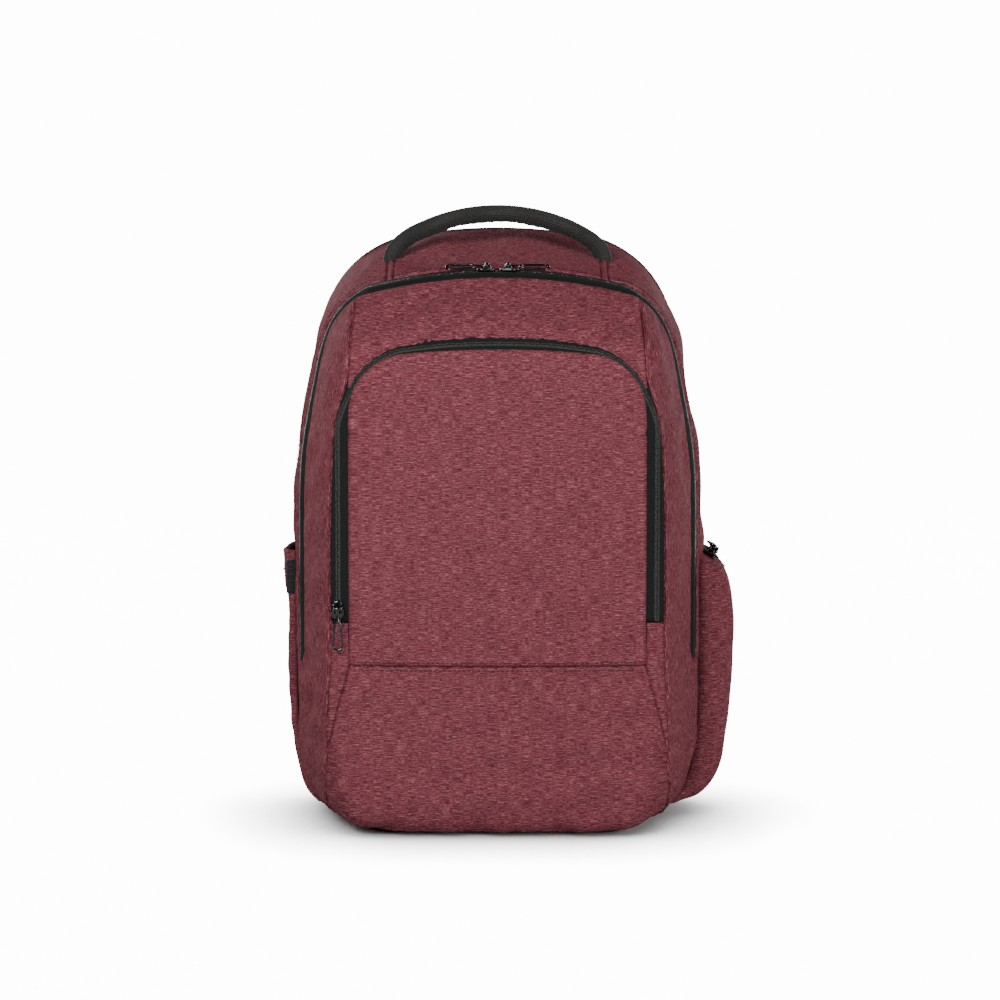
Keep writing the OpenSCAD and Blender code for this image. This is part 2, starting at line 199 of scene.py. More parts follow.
def section(y):
    """Half width, top, underside and squareness of the body at depth y."""
    return [smooth_interp(y, SECTIONS[:, 0], SECTIONS[:, k]) for k in (1, 2, 3, 4)]


def shoulder(z):
    """How the body narrows at its shoulders."""
    return 1 - 0.048 * np.exp(-((z - 343) / 52) ** 2)


def half_outline(y, z):
    """Half width at depth y and height z, with the top and the shape of that half of the outline."""
    a, top, low, n = section(y)
    upper = z >= MID_Z
    return a * shoulder(z), top, np.where(upper, top - MID_Z, MID_Z - low), np.where(upper, n, N_LOW), upper


def crown(x, top, inset=0.0):
    """Height of the arc that tops the outline."""
    return top - CROWN_R + np.sqrt(np.maximum((CROWN_R - inset) ** 2 - x * x, 0))


def level(x, z, y):
    """Below 1 inside the body's outline at depth y, above 1 outside it."""
    a, top, b, n, upper = half_outline(y, z)
    value = (np.abs(x) / a) ** n + (np.abs(z - MID_Z) / b) ** n
    over = z - crown(x, top)
    return np.where(upper & (over > 0), np.maximum(value, 1 + over / b), value)


def front_depth(x, z):
    """Depth of the body's front surface at x, z."""
    x, z = np.broadcast_arrays(np.asarray(x, float), np.asarray(z, float))
    lo, hi = np.full(x.shape, FACE_Y), np.full(x.shape, BACK_Y)
    for _ in range(26):
        mid = (lo + hi) / 2
        outside = level(x, z, mid) > 1
        lo, hi = np.where(outside, mid, lo), np.where(outside, hi, mid)
    return (lo + hi) / 2


def ring(y, count, inset=0.0):
    """Points in x, z evenly spaced round the outline at depth y, clockwise from the top."""
    a, top, low, n = (float(v) for v in section(y))
    t = np.linspace(0, TAU, 4001)
    s, c = np.sin(t), np.cos(t)
    n = np.where(c >= 0, n, N_LOW)
    b = np.where(c >= 0, top - MID_Z, MID_Z - low) - inset
    x = np.sign(s) * np.abs(s) ** (2 / n) * (a - inset)
    z = MID_Z + np.sign(c) * np.abs(c) ** (2 / n) * b
    x = x * shoulder(z)
    z = np.where(c >= 0, np.minimum(z, crown(x, top, inset)), z)
    return resample(np.stack([x, z], -1), count)


def on_ring(p):
    """Moves points outward from the body's axis onto its outline at their own depth."""
    x, y, z = p[..., 0], p[..., 1], p[..., 2]
    a, top, b, n, upper = half_outline(y, z)
    k = ((np.abs(x) / a) ** n + (np.abs(z - MID_Z) / b) ** n) ** (-1 / n)
    x, z = x * k, MID_Z + (z - MID_Z) * k
    return np.stack([x, y, np.where(upper, np.minimum(z, crown(x, top)), z)], -1)


def ring_top(x, y):
    """Height of the top of the outline at x, for one depth y."""
    a, top, _, n = (float(v) for v in section(y))
    z = top - 8
    for _ in range(3):
        z = MID_Z + (top - MID_Z) * np.maximum(1 - (np.abs(x) / (a * shoulder(z))) ** n, 0) ** (1 / n)
    return np.minimum(z, crown(x, top))


def body_x(y, z):
    """Half width of the body at depth y and height z."""
    a, _, b, n, _ = half_outline(y, z)
    return a * np.maximum(1 - (np.abs(z - MID_Z) / b) ** n, 0) ** (1 / n)


# ---------------------------------------------------------------- surface detail

def waves(u, v, size, seed, count=14):
    """A smooth random field of about unit height, with features of that size."""
    rng = np.random.RandomState(seed)
    total = np.zeros(np.broadcast(u, v).shape)
    for _ in range(count):
        angle = rng.uniform(0, math.pi)
        k = TAU / (size * rng.uniform(0.7, 1.6))
        total = total + np.sin(k * (u * math.cos(angle) + v * math.sin(angle)) + rng.uniform(0, 6.3))
    return total / math.sqrt(count / 2)


def tuck(e, depth, roll, lap=0.0):
    """Height near a seam at distance e: the edge turns in, beside a soft roll."""
    e = np.maximum(e - lap, 0)
    return -depth * np.exp(-(e / 0.9) ** 2) + roll * np.exp(-((e - 2.8) / 2.0) ** 2)


def pucker(along, e, pitch, height, reach=7.0, seed=0):
    """Small gathers that a line of stitching leaves in the cloth beside it."""
    drift = waves(along, 0 * along, 60, seed, 6)
    return height * np.sin(TAU * along / pitch + 2.2 * drift) * np.exp(-e / reach)


EDGE_STEPS = np.array([0, 0.45, 0.9, 1.4, 2.1, 3.0, 4.2, 5.8])


def across(width, step):
    """Distances from one edge to the other of each width, closer together at the edges."""
    width = np.atleast_1d(np.asarray(width, float))[:, None]
    last = EDGE_STEPS[-1]
    scale = np.minimum(1, width / 2 / (last + 1))
    count = max(2, int(round((width.max() - last - last) / step)) + 1)
    inside = np.linspace(0, 1, count)[1:-1][None]
    a, b = last * scale, width - last * scale
    return np.concatenate([EDGE_STEPS[None] * scale, a + (b - a) * inside,
                           width - EDGE_STEPS[None, ::-1] * scale], axis=1)


def spread(length, step):
    """Fractions from 0 to 1 along a length, closer together at its ends."""
    return across(length, step)[0] / length


# ---------------------------------------------------------------- meshes

def quads(i):
    """Four-sided faces between the points of a grid, from their numbers."""
    return np.stack([i[:-1, :-1], i[:-1, 1:], i[1:, 1:], i[1:, :-1]], -1)


def grid_normals(p):
    """Unit normals of a grid of points (rows, columns, 3)."""
    n = np.cross(np.gradient(p, axis=1), np.gradient(p, axis=0))
    return n / np.maximum(np.linalg.norm(n, axis=-1, keepdims=True), 1e-9)


class Build:
    """Collects the faces of one piece, and makes its mesh object."""

    def __init__(self):
        self.v, self.f, self.uv, self.m, self.count = [], [], [], [], 0

    def points(self, p, uv):
        """Adds points with their texture places; returns the number of the first."""
        self.v.append(np.asarray(p, float).reshape(-1, 3))
        self.uv.append(np.asarray(uv, float).reshape(-1, 2))
        start = self.count
        self.count += len(self.v[-1])
        return start

    def faces(self, f, mat):
        """Adds four-sided faces that show one of the piece's materials."""
        self.f.append(np.asarray(f, int).reshape(-1, 4))
        self.m.append(np.full(len(self.f[-1]), mat))

    def grid(self, p, uv, mat=0, flip=False):
        """A sheet without thickness. Columns may close on themselves with repeated points."""
        rows, cols = p.shape[:2]
        i = self.points(p, uv) + np.arange(rows * cols).reshape(rows, cols)
        q = quads(i).reshape(-1, 4)
        self.faces(q[:, ::-1] if flip else q, mat)
        return i

    def sheet(self, p, uv, thickness, mats=(0, 1), outward=FRONT, normals=None):
        """A closed sheet: p is its outer face, and its inner face lies inwards of it."""
        n = grid_normals(p) if normals is None else np.broadcast_to(np.asarray(normals, float), p.shape)
        outward = np.asarray(outward, float)
        side = np.sign(np.sum(n * (outward if outward.ndim > 1 else outward[None, None])))
        n = n * side
        flip = side > 0
        a = self.grid(p, uv, mats[0], flip=flip)
        b = self.grid(p - n * np.asarray(thickness)[..., None], uv, mats[1], flip=not flip)
        for ea, eb in ((a[0], b[0]), (a[:, -1], b[:, -1]),
                       (a[-1, ::-1], b[-1, ::-1]), (a[::-1, 0], b[::-1, 0])):
            q = np.stack([ea[:-1], eb[:-1], eb[1:], ea[1:]], -1)
            self.faces(q[:, ::-1] if flip else q, mats[0])

    def tube(self, path, radius, mat=0, sides=10, closed=False, flat=1.0, up=UP, caps=True):
        """A round or flattened tube along a path; radius may vary along it."""
        path = np.asarray(path, float)
        if closed:
            path = np.concatenate([path, path[:1]])
        along = np.gradient(path, axis=0)
        if closed:
            along[0] = along[-1] = path[1] - path[-2]
        along = unit(along)
        up = np.broadcast_to(np.asarray(up, float), path.shape)
        side = np.cross(along, up)
        side /= np.maximum(np.linalg.norm(side, axis=1, keepdims=True), 1e-9)
        over = np.cross(side, along)
        t = np.linspace(0, TAU, sides + 1)
        r = np.broadcast_to(np.asarray(radius, float), (len(path),))[:, None, None]
        p = path[:, None] + r * (np.cos(t)[None, :, None] * side[:, None]
                                 + flat * np.sin(t)[None, :, None] * over[:, None])
        if caps and not closed:
            ends = []
            for k, way in ((0, -1), (-1, 1)):
                reach = way * along[k] * float(r[k, 0, 0]) * flat
                ends.append(np.array([path[k] + (p[k] - path[k]) * size + reach * out
                                      for size, out in ((0.88, 0.35), (0.55, 0.65), (1e-4, 0.8))]))
            p = np.concatenate([ends[0][::-1], p, ends[1]])
        s = lengths(p.mean(1))[:, None]
        self.grid(p, joined(s, (t * float(np.mean(r)))[None]), mat)

    def stitches(self, path, normals, pitch, length, radius, lift=0.12, mat=2):
        """A line of sewn stitches lying on a surface."""
        s = lengths(path)
        normals = np.broadcast_to(np.asarray(normals, float), path.shape)
        for start in np.arange(pitch / 2, s[-1] - length, pitch):
            at = start + np.linspace(0, length, 5)
            n = pick(normals, s, at)
            bow = np.array([-0.7, 0.5, 1.0, 0.5, -0.7])[:, None] * radius * 0.8
            self.tube(pick(path, s, at) + n * (bow + lift), radius, mat, sides=6, up=n, caps=False)

    def make(self, name, materials, body=None):
        """Makes the mesh object, in metres, and lets it ride a body."""
        v, uv = np.concatenate(self.v) * MM, np.concatenate(self.uv) * MM
        f, m = np.concatenate(self.f), np.concatenate(self.m)
        mesh = bpy.data.meshes.new(name)
        mesh.vertices.add(len(v))
        mesh.vertices.foreach_set("co", v.astype(np.float32).ravel())
        mesh.loops.add(f.size)
        mesh.loops.foreach_set("vertex_index", f.astype(np.int32).ravel())
        mesh.polygons.add(len(f))
        mesh.polygons.foreach_set("loop_start", np.arange(0, f.size, 4, dtype=np.int32))
        mesh.polygons.foreach_set("material_index", m.astype(np.int32))
        layer = mesh.uv_layers.new(name="UVMap")
        layer.data.foreach_set("uv", uv[f.ravel()].astype(np.float32).ravel())
        for material in materials:
            mesh.materials.append(material)
        mesh.update(calc_edges=True)
        mesh.validate()
        weld(mesh)
        mesh.polygons.foreach_set("use_smooth", np.ones(len(mesh.polygons), bool))
        obj = bpy.data.objects.new(name, mesh)
        bpy.context.scene.collection.objects.link(obj)
        if body:
            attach(obj, body)
        return obj


def weld(mesh):
    """Joins points that coincide, such as where a grid closes on itself."""
    bm = bmesh.new()
    bm.from_mesh(mesh)
    bmesh.ops.remove_doubles(bm, verts=bm.verts, dist=2e-6)
    bmesh.ops.dissolve_degenerate(bm, edges=bm.edges, dist=1e-7)
    bm.to_mesh(mesh)
    bm.free()


# ---------------------------------------------------------------- materials

def linear(r, g, b):
    """A colour given in screen values from 0 to 255."""
    f = lambda c: c / 12.92 if c <= 0.04045 else ((c + 0.055) / 1.055) ** 2.4
    return (f(r / 255), f(g / 255), f(b / 255), 1)


def grey(value):
    return (value, value, value, 1)


def toned(colour, factor):
    """A colour made paler or darker."""
    return tuple(min(1, c * factor) for c in colour[:3]) + (1,)


class Shader:
    """A small helper to write a procedural material. Texture places are in metres."""

    def __init__(self, name, roughness, specular, **sockets):
        self.mat = bpy.data.materials.new(name)
        self.mat.use_nodes = True
        self.nodes, self.links = self.mat.node_tree.nodes, self.mat.node_tree.links
        self.bsdf = self.nodes["Principled BSDF"]
        self.feed(self.bsdf, Roughness=roughness, Specular_IOR_Level=specular, **sockets)
        self.uv = self.node("ShaderNodeUVMap").outputs[0]

    def node(self, kind, **sockets):
        node = self.nodes.new(kind)
        self.feed(node, **sockets)
        return node

    def feed(self, node, **sockets):
        """Gives a node's sockets values, or the outputs of other nodes."""
        for name, value in sockets.items():
            self.put(node.inputs[name.replace("_", " ")], value)

    def put(self, socket, value):
        if isinstance(value, bpy.types.NodeSocket):
            self.links.new(value, socket)
        else:
            socket.default_value = value

    def scaled(self, x, y):
        return self.node("ShaderNodeMapping", Scale=(x, y, 1), Vector=self.uv).outputs[0]

    def noise(self, x, y, detail=2.0):
        """Soft noise with so many spots to the metre along the texture's two directions."""
        node = self.node("ShaderNodeTexNoise", Scale=1.0, Detail=detail, Vector=self.scaled(x, y))
        return node.outputs["Fac"]

    def bands(self, direction, scale):
        """Soft bands across the texture's X or Y direction."""
        vector = self.scaled(*((scale, 0) if direction == "X" else (0, scale)))
        node = self.node("ShaderNodeTexWave", Scale=1.0, Vector=vector)
        node.bands_direction = direction
        return node.outputs["Fac"]

    def math(self, kind, a, b):
        node = self.node("ShaderNodeMath")
        node.operation = kind
        self.put(node.inputs[0], a)
        self.put(node.inputs[1], b)
        return node.outputs[0]

    def blend(self, a, share, b, other):
        """The sum of a and b in the shares given."""
        return self.math("ADD", self.math("MULTIPLY", a, share), self.math("MULTIPLY", b, other))

    def ramp(self, factor, stops):
        node = self.node("ShaderNodeValToRGB")
        ramp = node.color_ramp
        while len(ramp.elements) < len(stops):
            ramp.elements.new(0.5)
        for element, (at, colour) in zip(ramp.elements, stops):
            element.position = at
            element.color = colour
        self.links.new(factor, node.inputs[0])
        return node.outputs[0]

    def times(self, a, b):
        """The product of two colours."""
        node = self.node("ShaderNodeMix")
        node.data_type = "RGBA"
        node.blend_type = "MULTIPLY"
        for k, value in ((0, 1.0), (6, a), (7, b)):
            self.put(node.inputs[k], value)
        return node.outputs[2]

    def colour(self, output):
        self.feed(self.bsdf, Base_Color=output)

    def rough(self, output):
        self.feed(self.bsdf, Roughness=output)

    def bump(self, height, distance):
        """Raises the surface by that height; returns the finished material."""
        node = self.node("ShaderNodeBump", Strength=1.0, Distance=distance, Height=height)
        self.feed(self.bsdf, Normal=node.outputs[0])
        return self.mat


def melange(name, dark, base, light, contrast):
    """Woven two-tone cloth: short level streaks of paler and darker yarn."""
    s = Shader(name, 0.9, 0.06)
    yarn = s.blend(s.noise(118, 2300), 0.5, s.noise(390, 3300), 0.5)
    tone = s.ramp(yarn, [(0.5 - 0.15 * contrast, dark), (0.5, base), (0.5 + 0.16 * contrast, light)])
    mottle = s.ramp(s.noise(34, 90, 3.0), [(0.3, grey(0.94)), (0.7, grey(1.04))])
    s.colour(s.times(tone, mottle))
    weave = s.math("MULTIPLY", s.bands("X", 260), s.bands("Y", 260))
    s.rough(s.ramp(yarn, [(0.3, grey(0.92)), (0.75, grey(0.76))]))
    return s.bump(s.math("ADD", s.math("MULTIPLY", weave, 0.35), yarn), 0.00035)


BANDS = 3.18                                      # bands of a wave texture in one unit of length


def woven_black(name, colour, pitch_u, pitch_v, depth, roughness, specular, sheen=0.1):
    """Plain narrow fabric: tape, webbing, binding. Its pitches are in millimetres."""
    s = Shader(name, roughness, specular, Sheen_Weight=sheen)
    cloth = s.math("MULTIPLY", s.bands("X", 1000 / pitch_u / BANDS), s.bands("Y", 1000 / pitch_v / BANDS))
    fuzz = s.noise(900, 900)
    s.colour(s.ramp(s.blend(cloth, 0.6, fuzz, 0.4),
                    [(0.15, toned(colour, 0.55)), (0.45, colour), (0.85, toned(colour, 1.5))]))
    s.rough(s.ramp(fuzz, [(0.3, grey(roughness + 0.1)), (0.7, grey(roughness - 0.1))]))
    return s.bump(cloth, depth)


def spacer_mesh(name, colour):
    """Black spacer mesh: rows of small round holes, with painted shade in the holes and painted highlight on
    the ridges between them.
    """
    s = Shader(name, 0.75, 0.3, Sheen_Weight=0.15)
    cell = s.node("ShaderNodeTexVoronoi", Scale=1.0, Randomness=0.12, Vector=s.scaled(330, 380))
    distance = cell.outputs["Distance"]
    # painted shade makes the holes dark, and painted highlight makes the ridges between them paler
    s.colour(s.ramp(distance, [(0.22, toned(colour, 0.12)), (0.38, colour), (0.6, toned(colour, 1.5))]))
    return s.bump(s.ramp(distance, [(0.2, grey(0)), (0.42, grey(1))]), 0.0006)


def gloss_black(name, colour, roughness=0.16, coat=0.6):
    """Painted zinc or plastic: nearly smooth, with faint orange peel and handling marks."""
    s = Shader(name, roughness, 0.6, Coat_Weight=coat, Coat_Roughness=0.08)
    peel = s.noise(700, 700, 3.0)
    s.colour(s.ramp(peel, [(0.3, colour), (0.75, toned(colour, 1.6))]))
    s.rough(s.ramp(s.noise(160, 160, 4.0), [(0.35, grey(roughness)), (0.75, grey(roughness + 0.18))]))
    return s.bump(peel, 0.00002)


RED = melange("melange", linear(72, 27, 35), linear(112, 53, 62), linear(168, 106, 114), 0.86)
LINING = woven_black("lining", linear(70, 70, 73), 0.8, 0.8, 0.00012, 0.55, 0.45)
THREAD = woven_black("burgundy_thread", linear(74, 30, 38), 0.4, 0.4, 0.0001, 0.6, 0.3)
BLACK_THREAD = woven_black("black_thread", linear(26, 26, 26), 0.4, 0.4, 0.0001, 0.6, 0.3)
TAPE = woven_black("zip_tape", linear(25, 28, 26), 0.55, 1.1, 0.00016, 0.72, 0.15, 0.02)
COIL = woven_black("zip_coil", linear(34, 38, 35), 1.35, 0.5, 0.00008, 0.42, 0.5, 0.02)
WEBBING = woven_black("webbing", linear(30, 30, 28), 1.5, 1.0, 0.0004, 0.6, 0.4, 0.15)
BLACK_CLOTH = woven_black("black_cloth", linear(22, 22, 22), 0.7, 0.7, 0.0002, 0.72, 0.3, 0.2)
RUBBER = woven_black("base_cloth", linear(30, 30, 30), 0.9, 0.9, 0.0002, 0.5, 0.45)
MESH = spacer_mesh("spacer_mesh", linear(44, 44, 46))
METAL = gloss_black("black_metal", linear(8, 8, 8))
PLASTIC = gloss_black("black_plastic", linear(24, 24, 24), 0.4, 0.0)
CORE = gloss_black("core_board", linear(60, 60, 62), 0.55, 0.0)
FABRIC = [RED, LINING, THREAD]
BLACKS = [BLACK_CLOTH, BLACK_THREAD]
WEBS = [WEBBING, BLACK_THREAD]
ZIPPER = [TAPE, COIL]

# ---------------------------------------------------------------- curves on the front

# The princess seam, from the underside's corner up to the main zip: height, half width.
SEAM = np.array([(37, 127), (75, 126), (105, 125), (131, 123.6), (180, 122.9), (247, 121.8),
                 (285, 120.4), (300, 119.4), (315, 117.2), (323, 114.8), (332, 111.9), (345, 109.6),
                 (370, 108.4), (404, 106.5)], float)
LAP = 7.9                                         # main zip's middle to the panel in front of it
FLARE = np.array([(72, 124.4), (86, 121.6), (102, 118), (118, 113.2), (SEAM_Z, FLAP_HALF)], float)
TIP_Z = 339                                       # where the flap's zip dives under the gusset
LIP = 1.6                                         # how far the fabric beside a zip stands out
BOTTOM_Z, BOTTOM_R = 5.2, 21                      # the front's lower edge and its corners
ARCH_Z = 334                                      # above it, places on the flap's arch go by x


def seam_x(z):
    """Half width of the princess seam at height z."""
    return smooth_interp(z, SEAM[:, 0], SEAM[:, 1])


def arch(low, count=400):
    """The flap's outline, from height low on the left to the same height on the right."""
    cx, crown_z = FLAP_HALF - CORNER_R, FLAP_TOP - FLAP_CROWN_R
    # the corner circle touches the side and the crown's circle
    cz = crown_z + math.sqrt((FLAP_CROWN_R - CORNER_R) ** 2 - cx ** 2)
    touch = math.atan2(cz - crown_z, cx)
    side = np.stack([np.full(60, FLAP_HALF), np.linspace(low, cz, 60)], -1)
    return resample(both_sides(np.concatenate([
        side, arc(cx, cz, CORNER_R, np.linspace(0, touch, 60)[1:]),
        arc(0, crown_z, FLAP_CROWN_R, np.linspace(touch, math.pi / 2, 60)[1:])])), count)


def place_on_arch(line):
    """Places are heights up the sides, and along the top 450 less the distance from the middle."""
    return np.where(line[:, 1] > ARCH_Z, 450 - np.abs(line[:, 0]), line[:, 1])


def outward(line):
    """Directions in x, z that point away from the middle of the flap."""
    t = np.gradient(line, axis=0)
    out = unit(np.stack([-t[:, 1], t[:, 0]], -1))
    return out * np.sign((out * (line - [0, 250])).sum(-1, keepdims=True))


def beside_flap(reaches, count=400):
    """A line beside the flap's outline, at the distances that reaches gives for some places."""
    line = arch(ZIP_END, 1600)
    places, away = np.array(reaches, float).T
    return resample(line + outward(line) * smooth_interp(place_on_arch(line), places, away)[:, None], count)


def half_seam(z0, z1, count=120):
    """The right princess seam from height z0 to z1."""
    z = np.linspace(z0, z1, count)
    return np.stack([seam_x(z), z], -1)


def bottom_corner(count):
    """The corner below the princess seam, without its first point."""
    return arc(SEAM[0, 1] - BOTTOM_R, BOTTOM_Z + BOTTOM_R, BOTTOM_R, np.linspace(0, -math.pi / 2, count)[1:])


def side_lap(z):
    """From the main zip's middle to the fabric in front of it: wider down the sides."""
    return LAP + 2.4 * clamp((396 - z) / 50)


def seam_end(over=0.0):
    """Height at which the princess seam, moved outwards by over, reaches the main zip."""
    z = 400.0
    for _ in range(8):
        z = float(ring_top(float(seam_x(z)) + over, ZIP_Y - LAP))
    return z


def on_front(xz):
    """Points of the front surface above x, z, with their normals."""
    x, z = xz[..., 0], xz[..., 1]
    e = 0.6
    gx = np.clip((front_depth(x + e, z) - front_depth(x - e, z)) / (2 * e), -6, 6)
    gz = np.clip((front_depth(x, z + e) - front_depth(x, z - e)) / (2 * e), -6, 6)
    return np.stack([x, front_depth(x, z), z], -1), unit(np.stack([gx, -np.ones_like(gx), gz], -1))


def nearest(p, line):
    """Distance of each point to a line, and how far along the line that is."""
    line = resample(line, max(8, int(line_length(line) / 1.6)))
    s = lengths(line)
    a, d = line[:-1], np.diff(line, axis=0)
    length = np.maximum(np.linalg.norm(d, axis=1), 1e-9)
    flat = p.reshape(-1, 3)
    best, where = np.empty(len(flat)), np.empty(len(flat))
    for i in range(0, len(flat), 4000):
        q = flat[i:i + 4000, None]
        t = clamp(((q - a) * d).sum(-1) / length ** 2)
        gap = np.linalg.norm(q - a - d * t[..., None], axis=-1)
        k = gap.argmin(1)
        rows = np.arange(len(k))
        best[i:i + 4000] = gap[rows, k]
        where[i:i + 4000] = s[k] + t[rows, k] * length[k]
    return best.reshape(p.shape[:-1]), where.reshape(p.shape[:-1])


def coons(bottom, top, left, right, us, vs):
    """A grid between four curves; rows run from left to right, the first at the bottom."""
    b, t = at_fraction(bottom, us)[None], at_fraction(top, us)[None]
    l, r = at_fraction(left, vs)[:, None], at_fraction(right, vs)[:, None]
    u, v = us[None, :, None], vs[:, None, None]
    corners = ((1 - u) * (1 - v) * b[:, :1] + u * (1 - v) * b[:, -1:]
               + (1 - u) * v * t[:, :1] + u * v * t[:, -1:])
    return (1 - v) * b + v * t + (1 - u) * l + u * r - corners


def front_panel(edges, profiles, soft, seed, lift=LIP, size=26):
    """Points, normals and texture places of a panel on the front, between four edges."""
    bottom, top, left, right = edges
    us = spread(max(line_length(bottom), line_length(top)), 2.6)
    vs = spread(max(line_length(left), line_length(right)), 2.6)
    xz = coons(bottom, top, left, right, us, vs)
    base, n = on_front(xz)
    relief = soft * waves(xz[..., 0], xz[..., 1], size, seed)
    height = relief + lift
    fade = np.ones(xz.shape[:2])
    for k, (edge, profile) in enumerate(zip(edges, profiles)):
        if profile is None:
            continue
        line, _ = on_front(resample(edge, 200))
        e, s = nearest(base, line)
        fade = np.minimum(fade, clamp(e / 7))
        height = height + profile(e, s, seed + k)
    height = height - (1 - fade) * relief
    return base + n * height[..., None], n, xz


def seam_edge(depth=1.6, roll=0.7, gathers=0.22, pitch=9.0, lap=0.0):
    """An edge that turns in at a seam."""
    return lambda e, s, seed: tuck(e, depth, roll, lap) + pucker(s, e, pitch, gathers, seed=seed)


def turned_edge(drop, width, gathers=0.12, pitch=11.0):
    """An edge folded under, rounded off over the tape beside it."""
    return lambda e, s, seed: (-drop * (1 - clamp(e / width)) ** 2.2
                               + pucker(s, e, pitch, gathers, seed=seed))


def seam_stitches(build, xz, panel, pitch=3.6, length=2.4):
    """Stitches along a line in x, z, lying on a panel made by front_panel."""
    p, n, places = (a.reshape(-1, a.shape[-1]) for a in panel)
    line = resample(xz, max(10, int(line_length(xz) / 1.2)))
    gap = np.linalg.norm(line[:, None] - places[None], axis=-1)
    painted_shadow_ao = np.argsort(gap, axis=1)[:, :4]
    weight = 1 / (np.take_along_axis(gap, painted_shadow_ao, 1) ** 2 + 0.05)
    weight = (weight / weight.sum(1, keepdims=True))[..., None]
    path, normal = (p[painted_shadow_ao] * weight).sum(1), (n[painted_shadow_ao] * weight).sum(1)
    path[:, 0], path[:, 2] = line[:, 0], line[:, 1]
    build.stitches(path, unit(normal), pitch, length, 0.3)


def fold_forward(obj):
    """Bakes the piece's transform into its mesh; nothing is bent."""
    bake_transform(obj)
    return obj


# ---------------------------------------------------------------- front panels

# From the flap's edge to the fabric beyond its zip, and to the middle of the zip, at some places.
TAPE_REACH = [(160, 9.8), (300, 9.8), (334, 2.7), (354, 2.5), (367, 3.4), (378, 4.7), (400, 6.4),
              (415, 7.3), (450, 7.6)]
ZIP_REACH = [(160, 8.0), (304, 8.0), (334, 1.7), (354, 1.6), (367, 2.1), (378, 2.9), (400, 3.9),
             (415, 4.5), (450, 4.7)]


def within_seam(line, room):
    """The part of a line that stays inside the princess seams by that room."""
    return line[np.abs(line[:, 0]) <= seam_x(line[:, 1]) - room]


def flap_seam():
    """The stitched seam below the flap, sagging a little in its middle."""
    x = np.linspace(-FLAP_HALF, FLAP_HALF, 120)
    return np.stack([x, SEAM_Z - np.cos(x / FLAP_HALF * math.pi / 2)], -1)


def fold_flap(obj):
    """Bakes a piece's transform into its mesh; nothing is bent."""
    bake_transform(obj)


def upper_front_panel():
    """The strip above the flap, from its zip up to the main zip."""
    inner = beside_flap(TAPE_REACH)
    over = 1.0
    edge = half_seam(TIP_Z, seam_end(over)) + [over, 0]
    # the panel's lower edge follows the tape, and ends where the seam crosses it
    keep = within_seam(inner[inner[:, 0] >= 0], 0.6)
    bottom_right = np.concatenate([keep[keep[:, 1] > TIP_Z - 4], edge[:1]])
    bottom = np.concatenate([mirror(bottom_right)[::-1], bottom_right[1:]])
    x = np.linspace(-edge[-1, 0], edge[-1, 0], 200)
    top = np.stack([x, ring_top(x, ZIP_Y - LAP)], -1)
    side = seam_edge(2.2, 0.5, lap=0.9)
    panel = front_panel((bottom, top, mirror(edge), edge),
                        (turned_edge(1.2, 2.4, 0.34, 8.5), turned_edge(1.3, 3.4, 0.16), side, side), 0.7, 11)
    b = Build()
    b.sheet(panel[0], panel[2], 2.4, normals=panel[1])
    line = within_seam(beside_flap([(place, reach + 2.6) for place, reach in TAPE_REACH]), 3)
    seam_stitches(b, line[line[:, 1] > TIP_Z + 3], panel)
    obj = b.make("upper_front_panel", FABRIC, "lid")
    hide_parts("front_compartment")


def flap_skin():
    """The flap, from the stitched seam up to its zip."""
    outline = arch(SEAM_Z)
    corner = int(len(outline) * 0.27)
    left = outline[:corner]
    right = outline[::-1][:corner]
    top = outline[corner - 1:len(outline) - corner + 1]
    bottom = flap_seam()
    edge = turned_edge(2.3, 3.4, 0.16, 12)
    p, n, xz = front_panel((bottom, top, left, right), (seam_edge(1.6, 0.9, 0.35, 10), edge, edge, edge),
                           0.9, 21, LIP + 2.0, 48)
    # between the zip's ends and the seam the flap lies flat in the panel
    p[..., 1] += (1 - clamp((xz[..., 1] - SEAM_Z) / 26)) * 1.6
    b = Build()
    b.sheet(p, xz, 2.6, normals=n)
    seam_stitches(b, bottom[3:-3] + [0, 3.0], (p, n, xz))
    obj = b.make("flap_skin", FABRIC)
    fold_flap(obj)
    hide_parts("front_flap")


def lower_front_skin():
    """The panel below the stitched seam."""
    z = np.linspace(SEAM_Z, 72, 40)
    flare = np.stack([smooth_interp(z, FLARE[:, 0], FLARE[:, 1]), z], -1)
    corner = bottom_corner(24)
    right = np.concatenate([flare, half_seam(37, 70, 30)[::-1], corner[:12]])[::-1]
    top = flap_seam()
    low_right = corner[11:]
    middle = np.stack([np.linspace(-97, 97, 90), np.full(90, BOTTOM_Z)], -1)
    bottom = np.concatenate([mirror(low_right), middle[1:-1], low_right[::-1]])
    side = seam_edge(gathers=0.3)
    p, n, xz = front_panel((bottom, top, mirror(right), right),
                           (seam_edge(), seam_edge(1.6, 0.5, 0.35, 10), side, side), 0.8, 31, size=40)
    b = Build()
    b.sheet(p, xz, 1.4, mats=(0, 0), normals=n)
    seam_stitches(b, top[4:-4] - [0, 2.8], (p, n, xz))
    obj = fold_forward(b.make("lower_front_skin", FABRIC))
    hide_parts("lower_front_panel", "fold_gusset")


